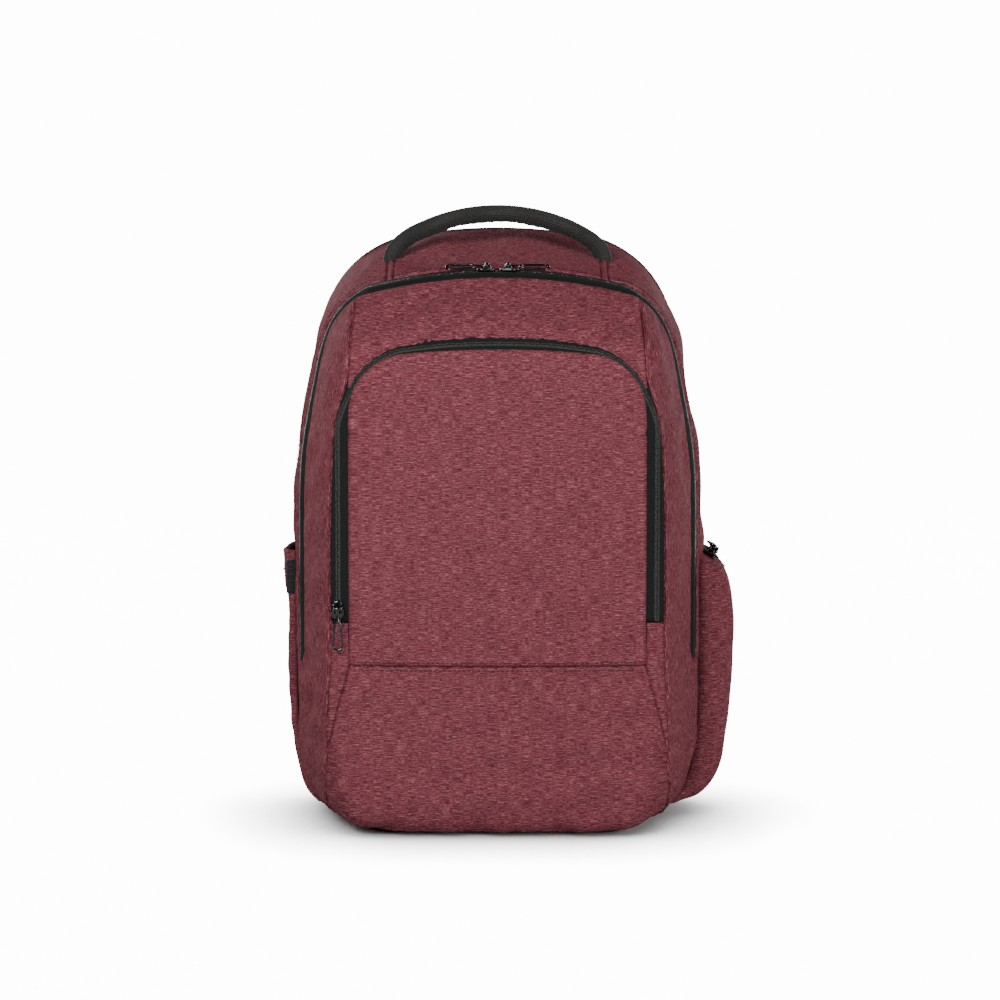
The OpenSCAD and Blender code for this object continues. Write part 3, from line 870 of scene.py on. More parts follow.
def corner_gusset(side, name):
    """The narrow strip between the flap's zip and the princess seam, down to where it ends in a point."""
    z = np.linspace(74, ZIP_END - 1, 80)
    inner = np.stack([np.where(z < SEAM_Z, smooth_interp(z, FLARE[:, 0], FLARE[:, 1]), FLAP_HALF), z], -1)
    outer = np.stack([seam_x(z), z], -1)
    outer[0, 0] = max(outer[0, 0], inner[0, 0] + 0.8)
    top = np.stack([np.linspace(FLAP_HALF, outer[-1, 0], 8), np.full(8, ZIP_END - 1.0)], -1)
    bottom = np.stack([np.linspace(inner[0, 0], outer[0, 0], 8), np.full(8, 74.0)], -1)
    p, n, xz = front_panel((bottom, top, inner, outer),
                           (None, turned_edge(1.0, 1.8), seam_edge(1.4, 0.6), seam_edge(1.4, 0.6)),
                           0.35, 41)
    b = Build()
    seam_stitches(b, top[1:-1] - [0, 2.2], (p, n, xz), 3.0, 2.0)
    m = np.array([side, 1, 1])
    b.v = [v * m for v in b.v]
    b.f = [f[:, ::side] for f in b.f]
    b.sheet((p * m)[:, ::side], (xz * [side, 1])[:, ::side], 1.4, mats=(0, 0),
            normals=(n * m)[:, ::side])
    obj = fold_forward(b.make("corner_gusset_" + name, FABRIC))


# ---------------------------------------------------------------- gussets round the body

def row_lengths(p):
    """How far along its row each point of a grid lies."""
    return np.array([lengths(row) for row in p])


def resample_rows(p, step):
    """Spaces the columns of each row evenly, but closer together at both edges."""
    s = row_lengths(p)
    at = across(s[:, -1], step)
    return np.array([pick(*row) for row in zip(p, s, at)]), at, s[:, -1:] - at


def front_gusset():
    """The U-shaped strip from the princess seam back to the main zip."""
    middle = np.stack([np.linspace(96, 0, 50), np.full(50, BOTTOM_Z)], -1)
    right = resample(np.concatenate([half_seam(37, seam_end(), 260)[::-1], bottom_corner(30), middle]), 260)
    # the matching points on the outline at the main zip
    outline = ring(ZIP_Y - LAP, 3000)
    half = outline[outline[:, 0] >= 0][:1500]
    half = half[half[:, 1] <= seam_end() + 0.2]
    half = half[(half[:, 0] > 100) | (half[:, 1] < MID_Z)]
    reach = lambda line, z: np.interp(z, line[::-1, 1], lengths(line)[::-1])
    keys = lambda line: [0, reach(line, SEAM_Z), reach(line, 60), line_length(line)]
    s_out = np.interp(lengths(right), keys(right), keys(half))
    inner, outer = both_sides(right), both_sides(at_fraction(half, s_out / line_length(half)))
    inner = inner - np.stack([np.sign(inner[:, 0]) * 1.2 * (inner[:, 1] > 40), 0 * inner[:, 0]], -1)
    y_in = front_depth(inner[:, 0], inner[:, 1])
    lap = side_lap(outer[:, 1])
    y_out = ZIP_Y - lap + (lap - 0.3) * (1 - clamp((outer[:, 1] - SEAM_Z + 6) / 8))
    t = np.linspace(0, 1, 70)[None]
    y = y_in[:, None] + (y_out - y_in)[:, None] * t ** 1.6
    xz = inner[:, None] + (outer - inner)[:, None] * t[..., None]
    p = on_ring(np.stack([xz[..., 0], y, xz[..., 1]], -1))
    p, e0, e1 = resample_rows(p, 3.0)
    n = grid_normals(p)
    n *= np.sign((n * (p - [0, 0, MID_Z])).sum(-1, keepdims=True))
    s = lengths(inner)[:, None]
    height = LIP + 0.7 * waves(e0, s, 34, 51) * clamp(np.minimum(e0, e1) / 9)
    height = height + tuck(e0, 2.0, 1.5, 1.1) + pucker(s, e0, 8.5, 0.34, 9, 52)
    height = height + turned_edge(1.3, 3.2, 0.1)(e1, s, 53)
    # the cloth gathers where the seam turns in at the shoulders
    gather = np.exp(-((inner[:, 1:] - 350) / 24) ** 2) * np.exp(-np.abs(e0 - 4) / 8)
    height = height + 0.55 * gather * np.sin((s * np.sign(inner[:, :1]) + 1.3 * e0) / 5.2 * TAU)
    narrow = clamp((e0 + e1) / 12)
    p = p + n * (height * narrow + LIP * (1 - narrow) * 0.6)[..., None]
    b = Build()
    b.sheet(p, np.stack([s + 0 * e0, e0], -1), 2.4, normals=n, outward=(p - [0, 0, MID_Z]))
    obj = fold_forward(b.make("front_gusset", FABRIC))


def around(y, s):
    """Points of the outline at the depths y; s goes from -0.5 to 0.5 round it, 0 at the top."""
    places = np.linspace(0, 1, 1600)
    return np.array([at_depth(pick(ring(float(depth), 1600), places, row % 1), depth)
                     for depth, row in zip(y, s)])


def fraction_at(y, test):
    """Fraction round the right half of the outline at which test(x, z) first holds."""
    line = ring(y, 4000)
    half = line[:2000]
    return np.argmax(test(half[:, 0], half[:, 1])) / 4000


def rear_gusset():
    """The strip round the bag from the main zip to the back, with a twin seam at the handle's ends."""
    # columns round the outline, closer together where the handle is sewn in
    fine = np.arange(0.050, 0.068, 0.0004)
    s = np.unique(np.round(np.concatenate([np.linspace(-0.5, 0.5, 521), fine, -fine]), 6))
    length = 1500.0                               # about the outline's, for the cloth's relief
    half_zip = fraction_at(ZIP_Y, lambda x, z: z < SEAM_Z)
    ys = np.concatenate([[0, 0.45, 0.9, 1.5, 2.3, 3.4, 5], np.linspace(8, 78, 24),
                         [82, 84.4, 86, 87, 87.6, 88.0]])
    top_y, low_y = ZIP_Y + 7, ZIP_Y + 0.3
    zip_here = clamp((half_zip - np.abs(s)) * length / 8)
    start = low_y + (top_y - low_y) * zip_here
    p = around(ys + top_y, np.broadcast_to(s, (len(ys), len(s))))
    spread_y = (BACK_Y + 0.4 - start)[None] * (ys / ys[-1])[:, None] + start[None]
    p[..., 1] = spread_y
    p = on_ring(p)
    n = grid_normals(p)
    n *= np.sign((n * (p - [0, 0, MID_Z]) * [1, 0, 1]).sum(-1, keepdims=True))
    e0, e1 = spread_y - start[None], BACK_Y - spread_y
    along = s * length + 0 * e0
    height = LIP * 0.6 + 1.0 * waves(e0, along, 60, 61) * clamp(np.minimum(e0, e1) / 14)
    height = height + turned_edge(1.2, 2.6, 0.12)(e0, along, 62) + tuck(e1, 1.2, 0.7)
    height = height + pucker(along, e1, 9, 0.3, 8, 63)
    x = p[..., 0]
    for side in (-1, 1):
        beside = np.where(p[..., 2] > MID_Z, np.abs(x - side * HANDLE_HALF), 99)
        twin = -1.7 * np.exp(-((beside - 2.6) / 0.85) ** 2) + 0.8 * np.exp(-(beside / 1.6) ** 2)
        height = height + twin + pucker(e0, beside, 8, 0.25, 6, 64 + side)
    soft_top = np.exp(-(x / 60) ** 2) * (p[..., 2] > MID_Z) * np.sin(clamp(e0 / (e0 + e1)) * math.pi)
    height = height + 1.6 * soft_top
    p = p + n * height[..., None]
    b = Build()
    b.sheet(p, np.stack([along, e0], -1), 2.4, normals=n, outward=(p - [0, 0, MID_Z]) * [1, 0, 1])
    for y in (top_y + 3.6, BACK_Y - 3.6):
        path = around([y], np.linspace(-0.36, 0.36, 420)[None])[0]
        out = unit((path - [0, 0, MID_Z]) * [1, 0, 1])
        b.stitches(path + out * (LIP * 0.6 + 0.3), out, 3.6, 2.4, 0.3)
    obj = b.make("rear_gusset_skin", FABRIC, "bag")
    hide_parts("rear_gusset")


# ---------------------------------------------------------------- zips

PITCH = 1.35                                      # from rib to rib of a zip's coil
ZIP_START = 0.15                                  # from a zip's middle to its coil


def zip_half(build, centre, side, normal, width, lift=0.0, droop=0.0):
    """One half of a zip: its tape, and the ribbed coil along the centre line."""
    s = lengths(centre)
    axes = [np.broadcast_to(a, centre.shape) for a in (centre, side, normal)]
    axes_at = lambda at: [pick(a, s, at)[:, None] for a in axes]
    at = np.linspace(0, s[-1], int(s[-1] / 3))
    width_at = np.interp(at, s, np.broadcast_to(width, s.shape)) - ZIP_START
    q = np.array([0.0, 0.12, 0.3, 0.42, 0.55, 0.8, 1.0])[None] * width_at[:, None] + ZIP_START
    rise = np.array([0, 0, 0, 0.18, 0, 0, 0])[None, :, None]
    c, d, n = axes_at(at)
    p = c + d * q[..., None] + n * (lift + rise - droop * q[..., None] ** 2)
    n = np.broadcast_to(n, p.shape)
    build.sheet(p, joined(q, at[:, None]), 1.0, mats=(0, 0), normals=n, outward=n)
    at = np.arange(0, s[-1], PITCH / 4)
    q = np.linspace(0, 1, 7)[None]
    turn = at[:, None] / PITCH * TAU
    height = lift + 0.85 * np.sin((0.22 + 0.78 * q) * math.pi) ** 0.7 * (0.52 + 0.48 * np.cos(turn))
    skew = 0.35 * np.sin(turn) * (1 - q)
    c, d, n = axes_at(at)
    p = c + d * (ZIP_START + 1.75 * q)[..., None] + n * height[..., None]
    p = p + unit(np.gradient(c, axis=0)) * skew[..., None]
    build.grid(p, joined(q * 2, at[:, None]), 1)


def ring_frame(y, s_half):
    """The outline at depth y from -s_half to s_half: points, directions backwards and outwards."""
    s = np.linspace(-s_half, s_half, 420)[None]
    before, c, after = (around([y + offset], s)[0] for offset in (-2, 0, 2))
    d = unit(after - before)
    n = np.cross(d, unit(np.gradient(c, axis=0)))
    return c, d, unit(n * np.sign((n * (c - [0, 0, MID_Z])).sum(-1, keepdims=True)))


def main_zip():
    """Both halves of the zip over the top and down both sides."""
    c, d, n = ring_frame(ZIP_Y, fraction_at(ZIP_Y, lambda x, z: z < SEAM_Z - 4))
    for side, name, width in ((-1, "front", side_lap(c[:, 2]) + 1.2), (1, "rear", 8.2)):
        b = Build()
        zip_half(b, c, d * side, n, width, lift=0.2, droop=0.018)
        obj = b.make("main_zip_" + name, ZIPPER)
        if name == "front":
            fold_forward(obj)
        else:
            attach(obj, "bag")
        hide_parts("main_zip_tape_" + name, "main_zip_coil_" + name)


def flap_zip():
    """Both halves of the arch-shaped zip round the flap."""
    c = beside_flap(ZIP_REACH, 700)
    out = outward(c)

    def laid(line):
        """Flat down the sides, where the slider runs; along the top it follows the fabric."""
        w = clamp((line[:, 1] - 318) / 25)
        back = front_depth(line[:, 0], line[:, 1]) - FACE_Y
        return np.stack([line[:, 0], FACE_Y - 0.9 + back * w * w * (3 - 2 * w), line[:, 1]], -1)

    centre, side = laid(c), unit(laid(c + out * 3) - laid(c - out * 3))
    normal = np.cross(side, np.gradient(centre, axis=0))
    normal = -np.sign(normal[:, 1:2]) * unit(normal)
    # the outer half is cut short where it runs under the gusset's edge
    limit = seam_x(c[:, 1]) + 0.8 - np.abs(c[:, 0])
    width = np.where(c[:, 1] < TIP_Z + 6, np.clip(limit / np.maximum(np.abs(out[:, 0]), 0.3), 0.5, 5.2), 5.2)
    b = Build()
    zip_half(b, centre, side, normal, width)
    obj = b.make("flap_zip_outer", ZIPPER, "lid")
    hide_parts("flap_zip_tape_outer", "flap_zip_coil_outer")
    # the inner half reaches a little under the flap
    b = Build()
    zip_half(b, centre, -side, normal, smooth_interp(place_on_arch(c), *np.array(ZIP_REACH).T) + 3.5)
    obj = b.make("flap_zip_inner", ZIPPER)
    fold_flap(obj)
    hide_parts("flap_zip_tape_inner", "flap_zip_coil_inner")


# ---------------------------------------------------------------- sliders and pulls

JOINT = {j["name"]: j for j in frame["joints"]}


class Local(Build):
    """A piece drawn in a slider's own frame: X along the pull, Z away from the zip."""

    def __init__(self, joint, out):
        super().__init__()
        j = JOINT[joint]
        self.pin = np.array(j["pos_m"]) / MM
        y = -np.array(j["axis"], float)
        y /= np.linalg.norm(y)
        z = np.array(out, float)
        z -= (z @ y) * y
        z /= np.linalg.norm(z)
        self.axes = np.stack([np.cross(y, z), y, z])

    def points(self, p, uv):
        return super().points(np.asarray(p, float).reshape(-1, 3) @ self.axes + self.pin, uv)


def loft(build, outline, levels):
    """A rounded plate: an outline in x, y, drawn in by each level's inset at its height."""
    centre = outline.mean(0)
    closed = np.concatenate([outline, outline[:1]])
    radial = closed - centre
    radius = np.linalg.norm(radial, axis=1, keepdims=True)
    p = np.array([np.concatenate([centre + radial * np.maximum(1 - inset / radius, 0.001),
                                  np.full((len(closed), 1), float(z))], -1) for inset, z in levels])
    build.grid(p, p[..., :2] + p[..., 2:])


def teardrop(x0, r0, x1, r1, count=40):
    """Outline of two circles joined by straight sides."""
    tilt = math.asin((r1 - r0) / (x1 - x0))
    return np.concatenate([arc(x0, 0, r0, np.linspace(math.pi / 2 + tilt, 3 * math.pi / 2 - tilt, count)),
                           arc(x1, 0, r1, np.linspace(-math.pi / 2 - tilt, math.pi / 2 + tilt, count))])


PIN_H = 3.8                                       # the pull's pin above the slider's lower face


def slider(name, joint, out, body):
    """A zip slider: a nose plate and a lower plate, lugs and the pin that holds the pull."""
    b = Local(joint, out)
    deck = teardrop(-3, 3.5, 3, 4.9)
    level = lambda z: z - PIN_H
    loft(b, deck, [(3.4, level(0.05)), (1.2, level(0.0)), (0.3, level(0.25)), (0, level(0.8)),
                   (0.25, level(1.35)), (1.0, level(1.75)), (2.2, level(1.95)), (3.4, level(2.0))])
    # raised rims that guide the two rows of teeth, and lugs for the pin
    for side in (-1, 1):
        rim = np.array([(-5.2, 2.2, level(1.35)), (-3, 2.7, level(1.6)), (1, 3.7, level(1.65)),
                        (4.6, 3.9, level(1.5)), (6.4, 3.0, level(1.1))])
        lug = np.array([(-3.0, 2.75, level(1.3)), (-2.4, 2.75, level(3.2)), (0, 2.75, level(4.7)),
                        (2.3, 2.75, level(3.2)), (2.9, 2.75, level(1.3))])
        b.tube(smooth_line(rim * [1, side, 1], 22), 0.62)
        b.tube(smooth_line(lug * [1, side, 1], 26), 0.78, up=BACK)
        web = teardrop(-1.6, 1.5, 1.6, 1.5, 14)
        web = np.concatenate([web, web[:1]])
        p = np.array([np.stack([web[:, 0] * k, np.full(len(web), side * y), web[:, 1] * k * 0.9 - 0.7], -1)
                      for k, y in ((0.01, 2.35), (0.96, 2.35), (1, 2.45), (1, 3.05), (0.96, 3.15),
                                   (0.01, 3.15))])
        b.grid(p, p[..., [0, 2]])
    b.tube(np.stack([np.zeros(7), np.linspace(-3.3, 3.3, 7), np.zeros(7)], -1), 0.98, sides=18)
    obj = b.make(name + "_body", [METAL], body)
    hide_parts(name)


def pull(name, joint, out, body, droop, lean):
    """A wire pull: a sleeve round the pin, a neck, and a long loop with a rounded end.

    droop and lean are in degrees: the first lets its end down, the second turns its face to the front.
    """
    b = Local(joint, out)
    c, s = math.cos(math.radians(droop)), math.sin(math.radians(droop))
    b.axes = np.array([[c, 0, -s], [0, 1, 0], [s, 0, c]]) @ b.axes
    c, s = math.cos(math.radians(lean)), math.sin(math.radians(lean)) * np.sign(b.axes[1, 1])
    b.axes = np.array([[1, 0, 0], [0, c, s], [0, -s, c]]) @ b.axes
    a = np.linspace(0, TAU, 29)
    p = np.array([at_depth(arc(0, 0, r, a), y)
                  for r, y in ((1.2, -1.5), (1.45, -1.75), (1.75, -1.7), (1.95, -1.3), (1.95, 1.3),
                               (1.75, 1.7), (1.45, 1.75), (1.2, 1.5), (1.2, -1.5))])
    b.grid(p, p[..., :2] + p[..., 2:])
    neck = smooth_line([(1.5, 0, 0), (4, 0, 0), (7, 0, 0), (9.2, 0, 0)], 20)
    thick = np.interp(np.linspace(0, 1, 20), [0, 0.3, 0.8, 1], [1.45, 1.2, 1.35, 1.7])
    b.tube(neck, thick, sides=14, flat=0.72)
    far, wide = 27.4, 3.35
    turn = np.linspace(-math.pi / 2, math.pi / 2, 19)
    end = np.stack([far + wide * 0.95 * np.cos(turn), wide * np.sin(turn), 0 * turn], -1)
    lower = smooth_line([(8.6, -0.5, 0), (11, -1.9, 0), (15, -2.5, 0), (21, -2.95, 0), (far, -wide, 0)], 26)
    loop = np.concatenate([lower, end[1:-1], lower[::-1] * [1, -1, 1]])
    b.tube(loop, 0.86 + 0.28 * clamp((loop[:, 0] - far - 1.5) / 1.5), sides=12)
    obj = b.make(name + "_wire", [METAL], body)
    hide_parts(name)


POCKET_TILT = math.radians(27)
POCKET_UP = (math.sin(POCKET_TILT), 0, math.cos(POCKET_TILT))    # away from the right pocket's zip


def hardware():
    """The four sliders and their pulls."""
    for name, where, out, droop, lean in (("main_{}_left", "main_pull_left_swing", UP, 2.5, 26),
                                          ("main_{}_right", "main_pull_right_swing", UP, 2.5, 26),
                                          ("flap_{}", "flap_pull_swing", FRONT, 0, 0),
                                          ("right_pocket_{}", "pocket_pull_swing", POCKET_UP, 0, 0)):
        rider = name.replace("right_pocket", "pocket")
        slider(name.format("slider"), where, out, rider.format("slider"))
        pull(name.format("pull"), where, out, rider.format("pull"), droop, lean)


# ---------------------------------------------------------------- handle

def handle():
    """Ribbed webbing folded over a core; its ends go down into the seams of the top."""
    half = HANDLE_HALF
    top = node_box("handle_webbing")[1][2] - 6.8
    sag = top - 440
    radius = (half * half + sag * sag) / (2 * sag)
    sweep = math.asin(half / radius)
    a = np.linspace(-sweep * 0.9, sweep * 0.9, 80)
    bow = at_depth(np.stack([radius * np.sin(a), top - radius + radius * np.cos(a)], -1), HANDLE_Y)
    foot = np.array([(half - 0.5, HANDLE_Y, 434), (half, HANDLE_Y, 426), (half, HANDLE_Y, 418)], float)
    line = resample(smooth_line(np.concatenate([(foot * [-1, 1, 1])[::-1], bow[4:-4:6], foot]), 900), 900)
    s = lengths(line)
    along = unit(np.gradient(line, axis=0))
    over = np.stack([-along[:, 2], np.zeros(len(s)), along[:, 0]], -1)
    over *= np.sign(over[:, 2:3] + 1e-9)
    # its feet stand upright, with their outer face away from the middle
    low = line[:, 2] < 432
    over[low] = np.sign(line[low, :1]) * [1, 0, 0]
    across_y = np.array([0.0, 1.0, 0.0])
    # section: a round roll above, closed to a stitched double layer below
    t = np.linspace(0, TAU, 41)
    v = 6.6 * np.sign(np.cos(t)) * np.abs(np.cos(t)) ** 0.8
    w = 4.5 * np.sign(np.sin(t)) * np.abs(np.sin(t)) ** 0.75
    w = w * np.interp(v, [-6.6, -4.2, -2.2, 1.0, 6.6], [0.62, 0.6, 0.92, 1.04, 0.9])
    end = clamp(np.minimum(s, s[-1] - s) / 26)
    slim = (0.72 + 0.28 * end * end * (3 - 2 * end))[:, None]
    rib = (0.16 * np.cos(s / 1.45 * TAU)[:, None]
           * clamp((5.4 - np.abs(v - 0.3)) / 1.6)[None])
    wobble = 0.35 * waves(s[:, None], v[None] * 0, 26, 71)
    lower = clamp((-v[None] - 3) / 3)
    vv = v[None] + (0.16 * np.sin(s / 7.5 * TAU)[:, None] + wobble) * lower
    ww = w[None] * slim
    out_v, out_w = np.cos(t)[None] * rib, np.sin(t)[None] * rib
    p = (line[:, None] + over[:, None] * (vv * slim ** 0.3 + out_v)[..., None]
         + across_y * (ww + out_w)[..., None])
    b = Build()
    edge = np.abs(v[:-1] + v[1:]) / 2 > 5.2
    uv = joined(s[:, None], t[None] * 5.0)
    i = b.points(p, uv) + np.arange(p.shape[0] * p.shape[1]).reshape(p.shape[:2])
    q = quads(i)
    b.faces(q[:, ~edge].reshape(-1, 4), 0)
    b.faces(q[:, edge].reshape(-1, 4), 1)
    for side in (-1, 1):
        path = line + over * -4.0 + across_y * side * 3.0 * slim
        b.stitches(path[60:-60], across_y * side, 3.2, 2.3, 0.32, 0.1)
    obj = b.make("handle_grip", [WEBBING, BLACK_CLOTH, BLACK_THREAD])
    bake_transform(obj)
    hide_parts("handle_webbing", "handle_core")
    # a bar tack at each end of the handle
    for side, name in SIDES:
        b = Build()
        x = side * half
        for k in range(9):
            y = HANDLE_Y - 5.4 + k * 1.35
            z = ring_top(half - 0.8, float(y)) + 2.2
            zig = np.array([(x - side * 3.4, y, z + 0.4), (x - side * 1.0, y + 0.5, z + 0.1)])
            b.tube(resample(zig, 6), 0.36, sides=6)
        b.make("handle_tack_" + name, [BLACK_THREAD], "bag")


# ---------------------------------------------------------------- back, base, piping

def piping():
    """The cord round the back's edge."""
    b = Build()
    b.tube(at_depth(ring(BACK_Y, 700)[:-1], BACK_Y + 2.4), 2.2, sides=14, closed=True, up=BACK)
    obj = b.make("rear_piping_cord", [BLACK_CLOTH], "bag")
    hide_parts("rear_piping")


def four_sides(line, parts):
    """A closed line from the middle of its top, cut at four parts of its length.

    Gives its bottom, top, left and right, each listed from the left or from the bottom.
    """
    n = len(line) - 1
    a, b, c, d = (int(part * n) for part in parts)
    top = np.concatenate([line[d:n + 1], line[1:a + 1]])
    return line[b:c + 1][::-1], top, line[c:d + 1], line[a:b + 1][::-1]


def ring_corners(y, inset):
    """The outline at depth y, drawn in by inset, as four curves: bottom, top, left and right."""
    return four_sides(ring(y, 2401, inset), (0.115, 0.385, 0.615, 0.885))


def back_wall():
    """Spacer mesh over foam, quilted into channels between the pads."""
    edges = ring_corners(BACK_Y, 0.3)
    us, vs = spread(290, 3.0), spread(440, 3.0)
    xz = coons(*edges, us, vs)
    p = at_depth(xz, BACK_Y)
    h = 0.5 * waves(xz[..., 0], xz[..., 1], 50, 81)
    rim = np.full(h.shape, 99.0)
    for edge in edges:
        e, s = nearest(p, at_depth(edge, BACK_Y))
        h = h + pucker(s, e, 10, 0.15, seed=82)
        rim = np.minimum(rim, e)
    # its edge laps over the gusset's, under the piping
    h = h * clamp(rim / 6) + 1.2 * np.exp(-(rim / 3.2) ** 2)
    for z in (204, 404):
        h = h - 1.2 * np.exp(-((xz[..., 1] - z) / 1.6) ** 2)
    p[..., 1] += h - 0.2
    b = Build()
    b.sheet(p, xz, 6.5, mats=(0, 1), normals=BACK, outward=BACK)
    obj = b.make("back_mesh", [MESH, LINING], "bag")
    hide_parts("back_panel")


def rounded_outline(x0, x1, z0, z1, r, count):
    """A closed rounded rectangle, clockwise from the middle of its top."""
    corners = ((x1 - r, z1 - r, 90), (x1 - r, z0 + r, 0), (x0 + r, z0 + r, -90), (x0 + r, z1 - r, -180))
    line = np.concatenate([arc(cx, cz, r, np.radians(np.linspace(a, a - 90, 16))) for cx, cz, a in corners])
    middle = [[(x0 + x1) / 2, z1]]
    return resample(np.concatenate([middle, line, middle]), count + 1)


def base():
    """The padded cloth panel under the bag, with a line of stitches round it."""
    lo, hi = node_box("base_panel")
    outline = rounded_outline(lo[0] + 5, hi[0] - 5, lo[1] + 9, hi[1] - 2, 24, 200)[:-1]
    b = Build()
    steps = [(103, 0.7), (60, 0.7), (20, 0.6), (9, 0.4), (6.6, 0.2), (5.6, 0.35), (3.8, 0.05), (1.2, 0.0),
             (0.3, 0.5), (0, 1.5), (0.3, 2.5), (1.2, 3.0), (30, 3.0), (103, 3.0)]
    centre, half = outline.mean(0), (hi - lo)[:2] / 2
    closed = np.concatenate([outline, outline[:1]])
    # the outline drawn in by each inset, at that height
    drawn_in = lambda inset, z: np.concatenate(
        [centre + (closed - centre) * np.maximum(1 - inset / half, 0.002), np.full((len(closed), 1), z)], -1)
    p = np.array([drawn_in(*step) for step in steps])
    b.grid(p, p[..., :2])
    path = drawn_in(5.6, 0.3)
    b.stitches(path, (0, 0, -1), 4.0, 2.8, 0.3, 0.0, mat=1)
    obj = b.make("base_cloth", [RUBBER, BLACK_THREAD], "bag")
    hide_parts("base_panel")


# ---------------------------------------------------------------- side pockets

POCKET_FRONT, POCKET_REAR = ZIP_Y + 14, BACK_Y - 12


def pocket_grid(profile, power=3.2):
    """The skin of a side pocket. Each row keeps one point of the profile; columns run to the rear."""
    line = smooth_line(profile, 400)
    line = resample(line, max(20, int(line_length(line) / 3.2)))
    eta = np.sin(np.linspace(-math.pi / 2, math.pi / 2, 72))
    eta = 0.45 * eta + 0.55 * np.linspace(-1, 1, 72)
    y = (POCKET_FRONT + POCKET_REAR) / 2 + eta * (POCKET_REAR - POCKET_FRONT) / 2
    out = np.maximum(1 - np.abs(eta) ** power, 0) ** (1 / 2.2)
    z = line[:, 1][:, None] + 0 * y[None]
    y = y[None] + 0 * z
    wall = body_x(y, np.clip(z, 6, 400)) + 0.6
    return np.stack([wall + np.maximum(line[:, 0][:, None] - wall, 0.4) * out[None], y, z], -1)


def pocket_places(p, inside):
    """A pocket skin's normals, and the distances of its points from the front, rear, lower and upper edge."""
    n = grid_normals(p)
    s = row_lengths(p)
    up = lengths(p[:, 36])[:, None] + 0 * s
    return n * np.sign((n * (p - inside)).sum(-1).mean()), s, s[:, -1:] - s, up, up[-1:] - up


def right_pocket():
    """A bulging pocket with a zip along its slanting top."""
    profile = [(143, 11), (157, 16.5), (167.5, 27), (175, 42), (180, 62), (183.2, 92), (184.3, 126),
               (183.0, 158), (179.5, 182), (175.8, 194), (173.2, 199.6)]
    p = pocket_grid(profile)
    n, s, e1, up, high = pocket_places(p, [120, 28, 110])
    n = n * np.sign(n[..., :1] + 1e-9)
    # slack cloth: long soft creases that fall from the zip towards the lower front corner
    crease = waves(s + up * 0.35, up * 0.3, 60, 91) * 0.7 + waves(s, up * 0.5, 26, 92) * 0.3
    fade = clamp(np.minimum(np.minimum(s, e1), np.minimum(up, high)) / 14)
    h = crease * fade + tuck(high, 1.0, 0.5) + pucker(s, high, 8, 0.25, 8, 93) + pucker(up, s, 9, 0.3, 8, 94)
    p = p + n * h[..., None]
    b = Build()
    b.sheet(p, np.stack([s, p[..., 2]], -1), 2.2, normals=n, outward=n)
    b.stitches((p[-3] + n[-3] * 0.5)[4:-4], n[-3][4:-4], 3.6, 2.4, 0.3)
    # the top, on which the zip is sewn
    t = np.linspace(0, 1, 14)[:, None]
    outer = p[-1].copy()
    y = outer[:, 1]
    wall = np.stack([body_x(y, np.full(len(y), 210.0)) + 0.4, y, np.full(len(y), 210.4)], -1)
    q = outer[None] + (wall - outer)[None] * t[..., None]
    m = np.broadcast_to(np.array(POCKET_UP), q.shape)
    q = q + m * (-1.0 + 0.9 * (np.abs(t - 0.5) * 2)[..., None] ** 4)
    b.sheet(q, joined(q[..., 0], q[..., 1]), 1.6, normals=m, outward=m)
    obj = b.make("right_pocket_skin", FABRIC, "bag")
    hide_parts("right_pocket")
    b = Build()
    lo, hi = node_box("right_pocket_tape")
    middle = (lo + hi) / 2
    c = joined(middle[0], np.linspace(lo[1], hi[1], 60), middle[2])
    slope = np.array([math.cos(POCKET_TILT), 0, -math.sin(POCKET_TILT)])
    for side in (-1, 1):
        zip_half(b, c, slope * side, POCKET_UP, 6.0, lift=0.4)
    obj = b.make("right_pocket_zip", ZIPPER, "bag")
    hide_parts("right_pocket_tape", "right_pocket_coil")


